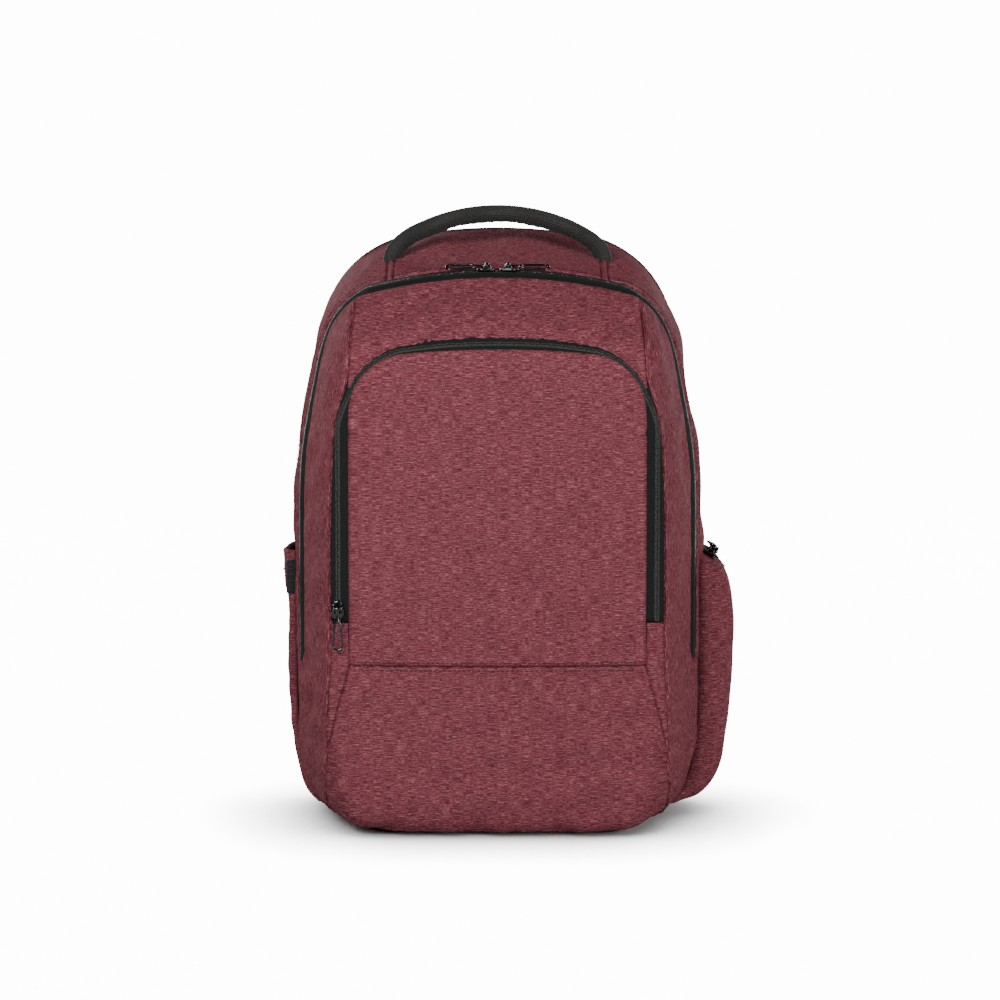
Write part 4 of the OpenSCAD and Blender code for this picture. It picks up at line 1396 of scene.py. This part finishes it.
def left_pocket():
    """A flat open pocket with a hemmed top, and a pleat and an elastic gore at its front edge."""
    profile = [(140, 11.5), (149, 22), (155, 40), (159, 66), (161.4, 100), (162.8, 140), (163.4, 176),
               (163.6, 198), (163.4, 209)]
    p = pocket_grid(profile, power=7.0)
    n, s, e1, up, high = pocket_places(p, [100, 28, 110])
    fade = clamp(np.minimum(np.minimum(s, e1), up) / 10)
    h = (0.9 * waves(s, up * 0.5, 38, 101) + 0.3 * waves(s, up, 18, 102)) * fade
    pleat = 0.7 * np.exp(-((s - 3.5) / 2.6) ** 2)
    h = h + pleat - 1.5 * np.exp(-((s - 8.5) / 1.6) ** 2) * clamp(high / 40)
    hem = 0.55 * (high < 17) * clamp(17 - high)
    h = h + hem + 0.25 * np.sin(s / 5.5 * TAU) * np.exp(-high / 14)
    p = p + n * h[..., None]
    m = np.array([-1, 1, 1])
    b = Build()
    p, n, uv = (p * m)[:, ::-1], (n * m)[:, ::-1], np.stack([s, p[..., 2]], -1)[:, ::-1]
    b.sheet(p, uv, 2.0, normals=n, outward=n)
    k = len(p) - 6
    b.stitches((p[k] + n[k] * 0.35)[::-1][3:-3], n[k][::-1][3:-3], 3.6, 2.4, 0.3)
    obj = b.make("left_pocket_skin", FABRIC, "bag")
    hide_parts("left_pocket")
    # the elastic gore: ribbed black webbing in a window at the front edge
    lo, hi = node_box("left_pocket_elastic")
    z = np.linspace(lo[2] - 7, hi[2] - 7, 90)
    t = np.linspace(0, 1, 9)
    x = -(body_x(np.full(90, POCKET_FRONT), z) + 1.2)[:, None] * (1 - t) + (lo[0] + 0.6) * t
    y = POCKET_FRONT - 0.9 - 0.7 * np.sin(t * math.pi)[None] - 0.25 * np.cos(z / 2.4 * TAU)[:, None]
    q = joined(x, y, z[:, None])
    b = Build()
    b.sheet(q, joined(z[:, None], t[None] * 8), 1.2, mats=(0, 0))
    obj = b.make("left_pocket_gore", [WEBBING], "bag")
    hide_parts("left_pocket_elastic")

# ---------------------------------------------------------------- padding

def stacked(outline, centre, steps):
    """A grid whose rows are the outline, in x, z, drawn in to a share of its size, at some depths."""
    return np.array([at_depth(centre + (outline - centre) * share, y) for share, y in steps])


def get_points(mesh):
    """A mesh's points in millimetres."""
    co = np.zeros(len(mesh.vertices) * 3, np.float32)
    mesh.vertices.foreach_get("co", co)
    return co.reshape(-1, 3).astype(float) / MM


def set_points(mesh, p):
    mesh.vertices.foreach_set("co", (p * MM).astype(np.float32).ravel())
    mesh.update()


def groove_distance(p, line):
    """Distance in x, z of each point to a sewn line."""
    a, d = line[:-1], np.diff(line, axis=0)
    q = p[:, None, [0, 2]]
    t = clamp(((q - a) * d).sum(-1) / np.maximum((d * d).sum(-1), 1e-9))
    return np.linalg.norm(q - a - d * t[..., None], axis=-1).min(1)


def puff(obj, base_y, sewn):
    """Blows up a slab as cloth. Its back and its sewn lines stay pinned."""
    remesh = obj.modifiers.new("remesh", "REMESH")
    remesh.mode = "VOXEL"
    remesh.voxel_size = 5 * MM
    bake_modifiers(obj)
    rest = get_points(obj.data)
    pinned = np.min([groove_distance(rest, line) for line in sewn], 0) < 3.0
    group = obj.vertex_groups.new(name="pin")
    group.add(np.flatnonzero(pinned | (rest[:, 1] < base_y + 2.2)).tolist(), 1.0, "REPLACE")
    cloth = obj.modifiers.new("cloth", "CLOTH")
    cloth.settings.quality = 4
    cloth.settings.mass = 0.25
    cloth.settings.tension_stiffness = cloth.settings.compression_stiffness = 18
    cloth.settings.bending_stiffness = 1.2
    cloth.settings.use_pressure = True
    cloth.settings.uniform_pressure_force = 4.0
    cloth.settings.vertex_group_mass = "pin"
    cloth.settings.effector_weights.gravity = 0
    cloth.collision_settings.use_collision = False
    scene = bpy.context.scene
    scene.frame_start, scene.frame_end = 1, 20
    for frame_number in range(1, 21):
        scene.frame_set(frame_number)
    bake_modifiers(obj)
    scene.frame_set(1)
    moved = get_points(obj.data) - rest
    # no point moves more than 3 mm, or below the pad's base
    moved *= np.minimum(1, 3.0 / np.maximum(np.linalg.norm(moved, axis=1, keepdims=True), 1e-6))
    final = rest + moved
    final[:, 1] = np.maximum(final[:, 1], base_y)
    set_points(obj.data, final)
    subdivide = obj.modifiers.new("smooth", "SUBSURF")
    subdivide.levels = subdivide.render_levels = 1
    bake_modifiers(obj)
    box_uv(obj.data)
    obj.data.polygons.foreach_set("use_smooth", np.ones(len(obj.data.polygons), bool))
    # the sewn lines are pressed into the foam
    p = get_points(obj.data)
    for line in sewn:
        height = np.clip(p[:, 1] - base_y, 0, None)
        p[:, 1] = p[:, 1] - height * 0.55 * np.exp(-(groove_distance(p, line) / 3.0) ** 2)
    set_points(obj.data, p)


def bake_modifiers(obj):
    """Turns what the modifiers make of an object into its mesh."""
    graph = bpy.context.evaluated_depsgraph_get()
    mesh = bpy.data.meshes.new_from_object(obj.evaluated_get(graph))
    obj.modifiers.clear()
    obj.data = mesh


def box_uv(mesh):
    """Texture places in metres, seen from the back."""
    while mesh.uv_layers:
        mesh.uv_layers.remove(mesh.uv_layers[0])
    layer = mesh.uv_layers.new(name="UVMap")
    index = np.zeros(len(mesh.loops), np.int32)
    mesh.loops.foreach_get("vertex_index", index)
    x, y, z = get_points(mesh)[index].T * MM
    layer.data.foreach_set("uv", np.stack([x + y, z + y * 0.5], -1).astype(np.float32).ravel())


def back_pad(name, node, quilts):
    """A moulded foam pad under spacer mesh, with stitched grooves and a bound edge."""
    lo, hi = node_box(node)
    outline = rounded_outline(lo[0] + 2, hi[0] - 2, lo[2] + 2, hi[2] - 2, 14, 120)
    y0, y1 = lo[1] + 0.2, hi[1] - 1.6
    p = stacked(outline, outline[:-1].mean(0), (
        (0.002, y1), (0.3, y1), (0.6, y1), (0.85, y1), (0.96, y1 - 1.0), (1, y1 - 3.2), (1, y0 + 0.8),
        (0.97, y0), (0.6, y0), (0.002, y0)))
    b = Build()
    b.grid(p, p[..., [0, 2]])
    obj = b.make(name, [MESH])
    puff(obj, lo[1], [resample(np.array(q, float), 40) for q in quilts])
    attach(obj, "bag")
    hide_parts(node)
    b = Build()
    b.tube(at_depth(outline[:-1], lo[1] + 1.2), 1.7, closed=True, flat=0.8, up=BACK)
    b.make(name + "_binding", [BLACK_CLOTH], "bag")


def pads():
    """Two pads for the shoulders and one for the small of the back."""
    for side, name in SIDES:
        lo, hi = node_box("back_pad_" + name)
        inner, outer = (hi[0], lo[0]) if side < 0 else (lo[0], hi[0])
        rows = [[(inner, z + 9), ((inner + outer) / 2, z), (outer, z - 7)]
                for z in np.linspace(lo[2], hi[2], 5)[1:-1]]
        back_pad("pad_" + name, "back_pad_" + name, rows)
    lo, hi = node_box("lumbar_pad")
    columns = [[(x, lo[2]), (x * 0.94, (lo[2] + hi[2]) / 2), (x, hi[2])] for x in (-60, 0, 60)]
    back_pad("pad_lumbar", "lumbar_pad", columns)


# ---------------------------------------------------------------- straps

def swept(build, line, across_dir, out_dir, widths, section):
    """A strap swept along a line; section is a closed list of (across, out) in half widths, mm."""
    s = lengths(line)
    widths = np.broadcast_to(widths, s.shape)
    q = np.array(section + section[:1], float)
    p = (line[:, None] + across_dir[:, None] * (q[None, :, 0] * widths[:, None] / 2)[..., None]
         + out_dir[:, None] * q[None, :, 1][..., None])
    first, last = p[:1].mean(1, keepdims=True), p[-1:].mean(1, keepdims=True)
    round_it = lengths(p[len(p) // 2])
    p = np.concatenate([first + (p[:1] - first) * 0.02, p, last + (p[-1:] - last) * 0.02])
    build.grid(p, joined(round_it[None], np.concatenate([s[:1], s, s[-1:]])[:, None]))


def strap_axes(line):
    """A strap's directions at each point: along it, across it, and out of the back."""
    along = unit(np.gradient(line, axis=0))
    side = np.array([1.0, 0, 0]) - along * along[:, :1]
    side = unit(side)
    out = np.cross(side, along)
    out *= np.sign(out[:, 1:2].mean())
    return along, side, out


def bezier(points, count):
    """A cubic curve from its four control points."""
    t = np.linspace(0, 1, count)[:, None]
    a, b, c, d = (np.asarray(p, float)[None] for p in points)
    return (1 - t) ** 3 * a + 3 * t * (1 - t) ** 2 * b + 3 * t * t * (1 - t) * c + t ** 3 * d


def shoulder_strap(side, name):
    """A padded strap: foam crowned on its outer face, bound edges, and webbing sewn along it."""
    line = bezier([(44, BACK_Y + 19, 422), (48, BACK_Y + 60, 380), (92, BACK_Y + 52, 250),
                   (98, BACK_Y + 24, 152)], 200) * np.array([side, 1, 1])
    line = resample(line, 200)
    along, across_dir, out = strap_axes(line)
    t = np.linspace(0, 1, 200)
    widths = np.interp(t, [0, 0.08, 0.9, 1], [60, 61, 47, 38])
    thick = np.interp(t, [0, 0.04, 0.94, 1], [4.6, 5.6, 5.4, 3.0])
    u = np.linspace(-1, 1, 25)
    crowned = np.maximum(1 - np.abs(u) ** 4, 0)[None] ** 0.5
    s = t * line_length(line)
    swell = 1 + 0.035 * np.sin(s / 42 * TAU)
    flat = line[:, None] + across_dir[:, None] * (u[None] * widths[:, None] / 2)[..., None]
    relief = 0.25 * waves(s[:, None], u[None] * 30, 30, 111 + side)
    outer = flat + out[:, None] * ((thick * swell)[:, None] * crowned + relief)[..., None]
    inner = flat - out[:, None] * ((thick * 0.95)[:, None] * crowned)[..., None]
    uv = joined(u[None] * 28, s[:, None])
    b = Build()
    b.grid(outer, uv, 0)
    b.grid(inner, uv, 1, flip=True)
    for k in (0, -1):
        b.grid(np.stack([outer[k], inner[k]]), np.stack([uv[k], uv[k]]), 0)
    obj = b.make("strap_foam_" + name, [BLACK_CLOTH, MESH])
    # the binding round the edge
    e = Build()
    left, right = outer[:, 0], outer[:, -1]
    loop = np.concatenate([left[4:-3], (line[-1] + along[-1] * 0.5)[None], right[::-1][3:-4]])
    e.tube(smooth_line(loop, 420), 1.9, sides=12)
    binding = e.make("strap_binding_" + name, [BLACK_CLOTH])
    # webbing along the outer face, boxed and crossed with stitches
    w = Build()
    half = 12.5
    part = slice(12, 197)
    across_dir, out = across_dir[part], out[part]
    centre = line[part] + out * (thick[part] * swell[part] + 0.5)[:, None]
    profile = [(-1, 0.0), (-1, 0.75), (-0.9, 1.05), (0, 1.1), (0.9, 1.05), (1, 0.75), (1, 0.0), (0, -0.1)]
    swept(w, centre, across_dir, out, 2 * half, profile)
    for edge in (-1, 1):
        path = centre + across_dir * edge * (half - 2.2) + out * 1.05
        w.stitches(path, out, 3.4, 2.4, 0.3, 0.1, mat=1)
    for at in (slice(51, 69), slice(111, 129)):
        for edge in (-1, 1):
            shift = (edge * np.linspace(-1, 1, 18) * (half - 2.2))[:, None]
            path = centre[at] + across_dir[at] * shift + out[at] * 1.05
            w.stitches(path, out[at], 3.0, 2.2, 0.3, 0.1, mat=1)
    ribbon = w.make("strap_ribbon_" + name, WEBS)
    for o, slot in ((obj, "black_padded"), (binding, "black_webbing"), (ribbon, "black_webbing")):
        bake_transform(o)
    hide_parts("shoulder_strap_" + name)


def ladder_lock(name):
    """A moulded ladder lock hung on the strap's bar, and its webbing."""
    x, y, z = np.array(JOINT["lock_" + name + "_tilt"]["pos_m"]) / MM
    b = Build()
    # an eye round the bar, and side rails that curve down to three cross bars
    for edge in (-1, 1):
        rail = smooth_line(np.array([(x + edge * 14.2, y, z + 0.5), (x + edge * 14.4, y - 0.4, z - 8),
                                     (x + edge * 14.4, y, z - 18), (x + edge * 13.4, y + 1.0, z - 28.5)]), 40)
        thick = np.interp(np.linspace(0, 1, 40), [0, 0.15, 1], [2.6, 1.9, 1.7])
        b.tube(rail, thick, sides=14, up=(1, 0, 0))
    for dz, dy, r, half, sides in ((-6.2, -0.3, 1.7, 14, 14), (-15.5, 0.4, 1.9, 14, 14),
                                   (-28.6, 1.0, 1.8, 14, 14), (0, 0, 2.9, 13, 20)):
        b.tube(joined(np.linspace(x - half, x + half, 20), y + dy, z + dz), r, sides=sides)
    lip = smooth_line([(x - 12, y + 1.5, z - 30), (x, y + 3.4, z - 34), (x + 12, y + 1.5, z - 30)], 30)
    b.tube(lip, 1.5, sides=12)
    obj = b.make("ladder_lock_" + name + "_body", [PLASTIC], "lock_" + name)
    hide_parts("ladder_lock_" + name)
    # the webbing that holds the eye to the strap's end
    w = Build()
    turn = np.radians(np.linspace(0, 150, 9))
    round_bar = joined(x, y + 3.55 * np.cos(turn), z - 3.55 * np.sin(turn))
    down = [(x, y + 3.0, z + 22), (x, y + 4.2, z + 14), (x, y + 3.8, z + 5)]
    top = smooth_line(np.concatenate([down, round_bar]), 44)
    _, across_dir, out = strap_axes(top)
    profile = [(-1, -0.7), (-1, 0.7), (-0.9, 0.9), (0.9, 0.9), (1, 0.7), (1, -0.7), (0, -0.8)]
    swept(w, top, across_dir, out, 22.4, profile)
    loop = w.make("lock_loop_" + name, [WEBBING], "strap_" + name)


def webbing(side, name):
    """The adjusting webbing: up from its tab, round the lock's bars, and its hemmed tail."""
    w = Build()
    profile = [(-1, -0.6), (-1, 0.6), (-0.92, 0.8), (0, 0.85), (0.92, 0.8), (1, 0.6), (1, -0.6), (0, -0.8)]
    # x, how far behind the back panel, z
    path = np.array([(132, 3.5, 50), (128, 8, 70), (121, 14, 92), (108, 19.5, 112), (101, 21.5, 122),
                     (98.5, 22.5, 130), (98, 25.5, 131.5), (98, 28.6, 127), (98, 29.5, 119), (97, 31.5, 96),
                     (97, 33, 60), (96.5, 32.2, 30), (96, 31.4, 20)])
    line = smooth_line((path + [0, BACK_Y, 0]) * [side, 1, 1], 220)
    _, side_dir, out = strap_axes(line)
    swept(w, line, side_dir, out, 24.0, profile)
    # the hem at the free end
    hem = line[-22:-1] - out[-22:-1] * 1.6
    swept(w, hem, side_dir[-22:-1], out[-22:-1], 23.4, profile)
    for k in (-20, -4):
        q = np.stack([np.linspace(-10, 10, 12)] * 3, -1) * side_dir[k] + line[k] + out[k] * 0.8
        w.stitches(q, out[k], 3.0, 2.2, 0.3, 0.1, mat=1)
    obj = w.make("strap_tail_" + name, WEBS)
    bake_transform(obj)
    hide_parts("strap_webbing_" + name)
    # the tab it is sewn into
    lo, hi = node_box("strap_tab_" + name)
    corners = np.array([(108, 34), (132, 34), (141, 50), (141, 68), (116, 62)], float) * [side, 1]
    centre = corners.mean(0)
    closed = resample(np.concatenate([corners, corners[:1]]), 121)
    wrap = np.arange(121) % 120
    soft = (closed + np.roll(closed[:-1], 3, 0)[wrap] + np.roll(closed[:-1], -3, 0)[wrap]) / 3
    t = Build()
    p = stacked(soft, centre, (
        (0.002, lo[1]), (0.9, lo[1]), (1, lo[1] + 0.6), (1, hi[1] - 0.8), (0.94, hi[1] - 0.1),
        (0.86, hi[1] - 0.5), (0.8, hi[1] + 0.3), (0.4, hi[1] + 0.9), (0.002, hi[1] + 1.0)))
    t.grid(p, p[..., [0, 2]])
    path = at_depth(centre + (soft - centre) * 0.86, hi[1] - 0.2)
    t.stitches(path, BACK, 3.4, 2.4, 0.3, 0.1, mat=1)
    tab = t.make("tab_" + name, BLACKS, "bag")
    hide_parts("strap_tab_" + name)


def yoke():
    """The quilted panel that takes in the shoulder straps, and the band sewn over their ends."""
    lo, hi = node_box("strap_yoke")
    us, vs = spread(hi[0] - lo[0], 2.6), spread(hi[2] - lo[2], 2.4)
    outline = rounded_outline(lo[0], hi[0], lo[2], hi[2], 8, 400)
    q = 0.5 - (hi[2] - lo[2]) / (2 * (hi[0] - lo[0] + hi[2] - lo[2]))
    half = q / 2
    edges = four_sides(outline, (half, 0.5 - half, 0.5 + half, 1 - half))
    xz = coons(*edges, us, vs)
    p = at_depth(xz, lo[1])
    e = np.min([nearest(p, at_depth(edge, lo[1]))[0] for edge in edges], 0)
    h = (hi[1] - lo[1]) * (1 - np.exp(-e / 4.5)) * 0.98 + 0.25 * waves(xz[..., 0], xz[..., 1], 26, 121)
    b = Build()
    p[..., 1] += h
    b.sheet(p, xz, np.maximum(h - 0.1, 0.3), mats=(0, 0), normals=BACK, outward=BACK)
    for z in (lo[2] + 7, hi[2] - 7):
        x = np.linspace(lo[0] + 8, hi[0] - 8, 90)
        b.stitches(joined(x, hi[1] - 0.6, z), BACK, 3.6, 2.5, 0.32, 0.1, mat=1)
    obj = b.make("yoke_panel", [BLACK_CLOTH, BLACK_THREAD], "bag")
    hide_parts("strap_yoke")


def trolley_strap():
    """A broad band of the bag's fabric, open above and below, that slips over a case's handle."""
    lo, hi = node_box("trolley_strap")
    xs, zs = spread(hi[0] - lo[0], 3.0), spread(hi[2] - lo[2], 2.8)
    x = lo[0] + xs * (hi[0] - lo[0])
    z = lo[2] + zs * (hi[2] - lo[2])
    rise = clamp((np.abs(x) - 112) / 20)
    y = hi[1] - (hi[1] - lo[1] - 2.4) * rise ** 1.3
    e = np.minimum(z - lo[2], hi[2] - z)
    hem = 0.7 * np.exp(-((e - 1.8) / 1.6) ** 2) - 0.9 * np.exp(-(e / 0.8) ** 2)
    p = joined(x[None], y[None], z[:, None]).copy()
    p[..., 1] += hem[:, None] + 0.45 * waves(x[None], z[:, None], 40, 131) * (1 - rise)[None]
    e_end = 132 - np.abs(x)
    p[..., 1] += tuck(np.abs(e_end - 6), 0.9, 0.4)[None]
    b = Build()
    uv = joined(x[None], z[:, None])
    b.sheet(p, uv, 1.9, outward=BACK)
    for row in (4, -5):
        path = p[row] + [0, 0.1, 0]
        b.stitches(path[3:-3], BACK, 3.6, 2.5, 0.3, 0.1)
    for side in (-1, 1):
        zz = np.linspace(lo[2] + 3, hi[2] - 3, 60)
        for dx in (3.0, 9.0):
            order = np.argsort(np.abs(x))
            height = np.interp(132 - dx, np.abs(x)[order], y[order]) + 0.3
            path = joined(side * (132 - dx), height, zz)
            b.stitches(path, BACK, 3.2, 2.2, 0.3, 0.1)
    obj = b.make("trolley_band", FABRIC, "bag")
    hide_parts("trolley_strap")


def harness():
    """All that is on the back."""
    back_wall()
    pads()
    yoke()
    trolley_strap()
    for side, name in SIDES:
        shoulder_strap(side, name)
        ladder_lock(name)
        webbing(side, name)


# ---------------------------------------------------------------- inside

def divider():
    """The lining wall between the two compartments, bound all round its edge."""
    y = ZIP_Y - 4.4
    edges = ring_corners(y, 4.6)
    xz = coons(*edges, spread(280, 5.0), spread(400, 5.0))
    p = np.stack([xz[..., 0], y + 0.45 * waves(xz[..., 0], xz[..., 1], 70, 141), xz[..., 1]], -1)
    b = Build()
    b.sheet(p, xz, 1.4, mats=(0, 0), normals=FRONT)
    b.tube(at_depth(ring(y, 500, 4.6)[:-1], y + 0.6), 1.3, 1, sides=8, closed=True, up=BACK)
    obj = fold_forward(b.make("divider_lining", [LINING, BLACK_CLOTH]))
    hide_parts("front_divider", "lower_divider")


def organizer():
    """A patch pocket on the divider: three slack slots, sewn apart, with a bound top edge."""
    lo, hi = node_box("organizer_pocket")
    stops = np.array([lo[0], -26.0, 30.0, hi[0]])
    xs = np.unique(np.concatenate([a + spread(c - a, 2.4) * (c - a) for a, c in zip(stops[:-1], stops[1:])]))
    zs = np.linspace(lo[2], hi[2], 60)
    slot = np.clip(np.searchsorted(stops, xs, side="right") - 1, 0, 2)
    middle, half = (stops[slot] + stops[slot + 1]) / 2, (stops[slot + 1] - stops[slot]) / 2
    swell = np.maximum(1 - np.abs((xs - middle) / half) ** 2.4, 0)
    t = ((zs - lo[2]) / (hi[2] - lo[2]))[:, None]
    rise = np.sin(clamp(t / 0.3) * math.pi / 2) * (0.55 + 0.45 * t)
    x, z = np.broadcast_arrays(xs[None], zs[:, None])
    depth = 0.8 + 7.6 * swell[None] * rise + 0.35 * waves(x, z, 30, 142) * swell[None]
    z = z - 2.2 * swell[None] * t ** 4
    p = np.stack([x, hi[1] - depth, z], -1)
    b = Build()
    b.sheet(p, np.stack([x, z], -1), 0.9, mats=(0, 0))
    b.tube(p[-1] + [0, 0.4, 0], 1.5, 1, sides=10, flat=0.7)
    for at in stops:
        k = int(np.argmin(np.abs(xs - at)))
        line = at_fraction(p[:, k], np.linspace(0.02, 0.99, 40)) + [np.sign(-at) * 1.6 * (abs(at) > 80), 0, 0]
        b.stitches(line, FRONT, 3.4, 2.4, 0.3, 0.2, mat=2)
    foot = at_fraction(p[1], np.linspace(0.01, 0.99, 40))
    b.stitches(foot, FRONT, 3.4, 2.4, 0.3, 0.2, mat=2)
    obj = fold_forward(b.make("organizer_slots", [LINING, BLACK_CLOTH, BLACK_THREAD]))
    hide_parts("organizer_pocket")


def laptop_sleeve():
    """A padded sleeve against the back: a quilted front, a soft gusset and a bound mouth."""
    lo, hi = node_box("laptop_sleeve")
    half, front = hi[0], lo[1]
    xs = lo[0] + spread(2 * half, 3.4) * 2 * half
    zs = lo[2] + spread(hi[2] - lo[2], 3.6) * (hi[2] - lo[2])
    x, z = np.broadcast_arrays(xs[None], zs[:, None])
    edge = np.minimum(half - np.abs(x), np.minimum(z - lo[2], hi[2] - z))
    channel = np.abs(np.sin((x / (2 * half) * 6) * math.pi)) ** 0.45
    h = 1.5 * channel * clamp(edge / 9) ** 0.6 + 0.2 * waves(x, z, 40, 143)
    p = np.stack([x, front + 1.9 - h, z], -1)
    b = Build()
    b.sheet(p, np.stack([x, z], -1), 2.6, mats=(0, 0), normals=FRONT)
    # the gusset: down one side, along the bottom and up the other
    turn = np.linspace(0, math.pi / 2, 10)
    right = np.concatenate([
        np.stack([np.full(40, half - 1.6), np.linspace(hi[2] - 1, lo[2] + 12, 40)], -1),
        np.stack([half - 11.6 + 10 * np.cos(turn[1:]), lo[2] + 11.6 - 10 * np.sin(turn[1:])], -1)])
    u = resample(np.concatenate([right * [-1, 1], right[::-1]]), 240)
    depth = np.linspace(front + 2.5, hi[1] - 0.3, 8)
    q = joined(u[:, None, 0], depth[None], u[:, None, 1]).copy()
    sag = np.sin(np.linspace(0, math.pi, 8))[None] * 1.4
    inward = np.array([0, 0, 200.0]) - q
    inward[..., 1] = 0
    inward = unit(inward)
    q += inward * sag[..., None]
    b.sheet(q, np.stack([q[..., 1], q[..., 2] + q[..., 0]], -1), 1.2, mats=(0, 0), outward=-inward)
    mouth = joined(np.linspace(-half + 1, half - 1, 120), front + 2.3, hi[2] - 0.4)
    b.tube(mouth, 2.0, 1, sides=12, flat=0.9)
    b.tube(at_depth(u, front + 2.2), 1.7, 1, up=BACK)
    obj = b.make("laptop_sleeve_foam", [LINING, BLACK_CLOTH, BLACK_THREAD], "bag")
    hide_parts("laptop_sleeve")
    # the strap that closes it, with its stitched box
    lo, hi = node_box("laptop_strap")
    line = smooth_line([(0, hi[1] - 0.6, hi[2] - 1.2), (0, hi[1] - 12, hi[2] - 0.9),
                        (0, lo[1] + 5, hi[2] - 1.2), (0, lo[1] + 1.4, hi[2] - 4.5),
                        (0, lo[1] + 1.0, hi[2] - 16), (0, lo[1] + 1.0, lo[2] + 1)], 90)
    _, across_dir, out = strap_axes(line)
    tip = np.clip((1 - np.linspace(0, 1, 90)) / 0.06, 0.55, 1)
    b = Build()
    swept(b, line, across_dir, out, 24.6 * tip,
          [(-1, -0.5), (-1, 0.5), (-0.92, 0.7), (0.92, 0.7), (1, 0.5), (1, -0.5), (0, -0.7)])
    for edge in (-9.5, 9.5):
        b.stitches((line + across_dir * edge)[50:86] + [0, -0.8, 0], FRONT, 3.2, 2.2, 0.3, 0.1, mat=1)
    obj = b.make("laptop_strap_band", [WEBBING, BLACK_THREAD], "bag")
    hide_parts("laptop_strap")


def back_board():
    """The ribbed board that stiffens the back, and the lining in front of it."""
    lo, hi = node_box("back_stiffener")
    y = (lo[1] + hi[1]) / 2
    for name, inset, place, thick, materials, slot in (
            ("stiffener_board", 14, hi[1] - 0.1, hi[1] - lo[1] - 0.2, [CORE, CORE], "inner_core"),
            ("back_lining", 9, lo[1] - 0.1, 0.5, [LINING, LINING], "lining")):
        edges = ring_corners(y, inset)
        xz = coons(*edges, spread(2 * (150 - inset), 4.0), spread(2 * (215 - inset), 4.0))
        ribs = 0.12 * np.cos(xz[..., 0] / 6 * TAU) if name == "stiffener_board" else 0
        p = np.stack([xz[..., 0], place - 0.12 + ribs + 0 * xz[..., 0], xz[..., 1]], -1)
        b = Build()
        b.sheet(p, xz, thick, normals=BACK, outward=BACK)
        obj = b.make(name, materials, "bag")
        if name == "stiffener_board":
            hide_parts("back_stiffener")


# ---------------------------------------------------------------- scene

def light(name, place, target, size, power):
    """A square softbox, turned towards its target."""
    data = bpy.data.lights.new(name, "AREA")
    data.size, data.energy = size, power
    obj = bpy.data.objects.new(name, data)
    obj.location = place
    obj.rotation_mode = "QUATERNION"
    obj.rotation_quaternion = (Vector(target) - Vector(place)).to_track_quat("-Z", "Y")
    bpy.context.scene.collection.objects.link(obj)
    return obj


def glowing(name, albedo, strength, painted_contact_shadow=False):
    """A pale surface that glows, evenly or with a painted contact shadow near what stands on it."""
    s = Shader(name, 0.95, 0.1, Emission_Color=grey(1))
    s.colour(s.ramp(s.noise(3, 3), [(0.3, grey(albedo - 0.01)), (0.7, grey(albedo + 0.01))]))
    if painted_contact_shadow:
        # painted contact shadow: the glow fades in the narrow space under and beside what stands on the floor
        painted_shadow_ao = s.node("ShaderNodeAmbientOcclusion", Distance=0.09)
        painted_shadow_ao.samples = 8
        strength = s.math("MULTIPLY", s.math("POWER", painted_shadow_ao.outputs["AO"], 3.5), strength)
    s.feed(s.bsdf, Emission_Strength=strength)
    return s.mat


def studio():
    """A pale floor inside a pale dome, with two softboxes in front and two behind."""
    a = np.linspace(0, math.pi / 2, 12)
    up = np.linspace(0, math.pi / 2, 16)
    r = np.concatenate([[0, 500, 1500, 3000, 4500], 4500 + 1500 * np.sin(a[1:]), 6000 * np.cos(up[1:])])
    z = np.concatenate([[0, 0, 0, 0, 0], 1500 - 1500 * np.cos(a[1:]), 1500 + 5000 * np.sin(up[1:])])
    turn = np.linspace(0, TAU, 65)
    p = joined(r[:, None] * np.cos(turn)[None], r[:, None] * np.sin(turn)[None],
                                     z[:, None])
    b = Build()
    b.grid(p[:4], p[:4, :, :2], 0)
    b.grid(p[3:], p[3:, :, :2], 1)
    # the floor's glow carries a painted contact shadow; the dome's glow is even
    floor = b.make("floor", [glowing("floor_white_painted_shadow", 0.6, 13.5, True), glowing("dome_white", 0.06, 14.0)])
    key = light("key", (-0.58, -1.08, 0.95), (-0.04, 0, 0.28), 0.6, 16)
    light("front", (1.9, -2.1, 0.8), (0, 0, 0.24), 1.2, 55)
    light("back_left", (-1.5, 2.3, 1.4), (0, 0, 0.24), 1.3, 62)
    light("back_right", (1.6, 2.2, 0.9), (0, 0, 0.22), 1.2, 40)
    # the dome glows without lighting anything
    nothing = bpy.data.collections.new("lit_by_dome")
    nothing.objects.link(key)
    floor.light_linking.receiver_collection = nothing


def camera():
    """A long lens, a little above the bag, as in the photo."""
    data = bpy.data.cameras.new("camera")
    data.sensor_width = 36
    data.lens = 93.5
    data.clip_start, data.clip_end = 0.05, 50
    data.dof.use_dof = False
    obj = bpy.data.objects.new("camera", data)
    target = Vector((0.0019, 0, 0.247))
    elevation = math.radians(5)
    obj.location = target + 2.0 * Vector((0, -math.cos(elevation), math.sin(elevation)))
    obj.rotation_mode = "QUATERNION"
    obj.rotation_quaternion = (target - obj.location).to_track_quat("-Z", "Y")
    bpy.context.scene.collection.objects.link(obj)
    bpy.context.scene.camera = obj


upper_front_panel()
flap_skin()
lower_front_skin()
for side, name in SIDES:
    corner_gusset(side, name)
front_gusset()
rear_gusset()
main_zip()
flap_zip()
hardware()
handle()
piping()
harness()
base()
right_pocket()
left_pocket()
divider()
organizer()
laptop_sleeve()
back_board()
studio()
camera()
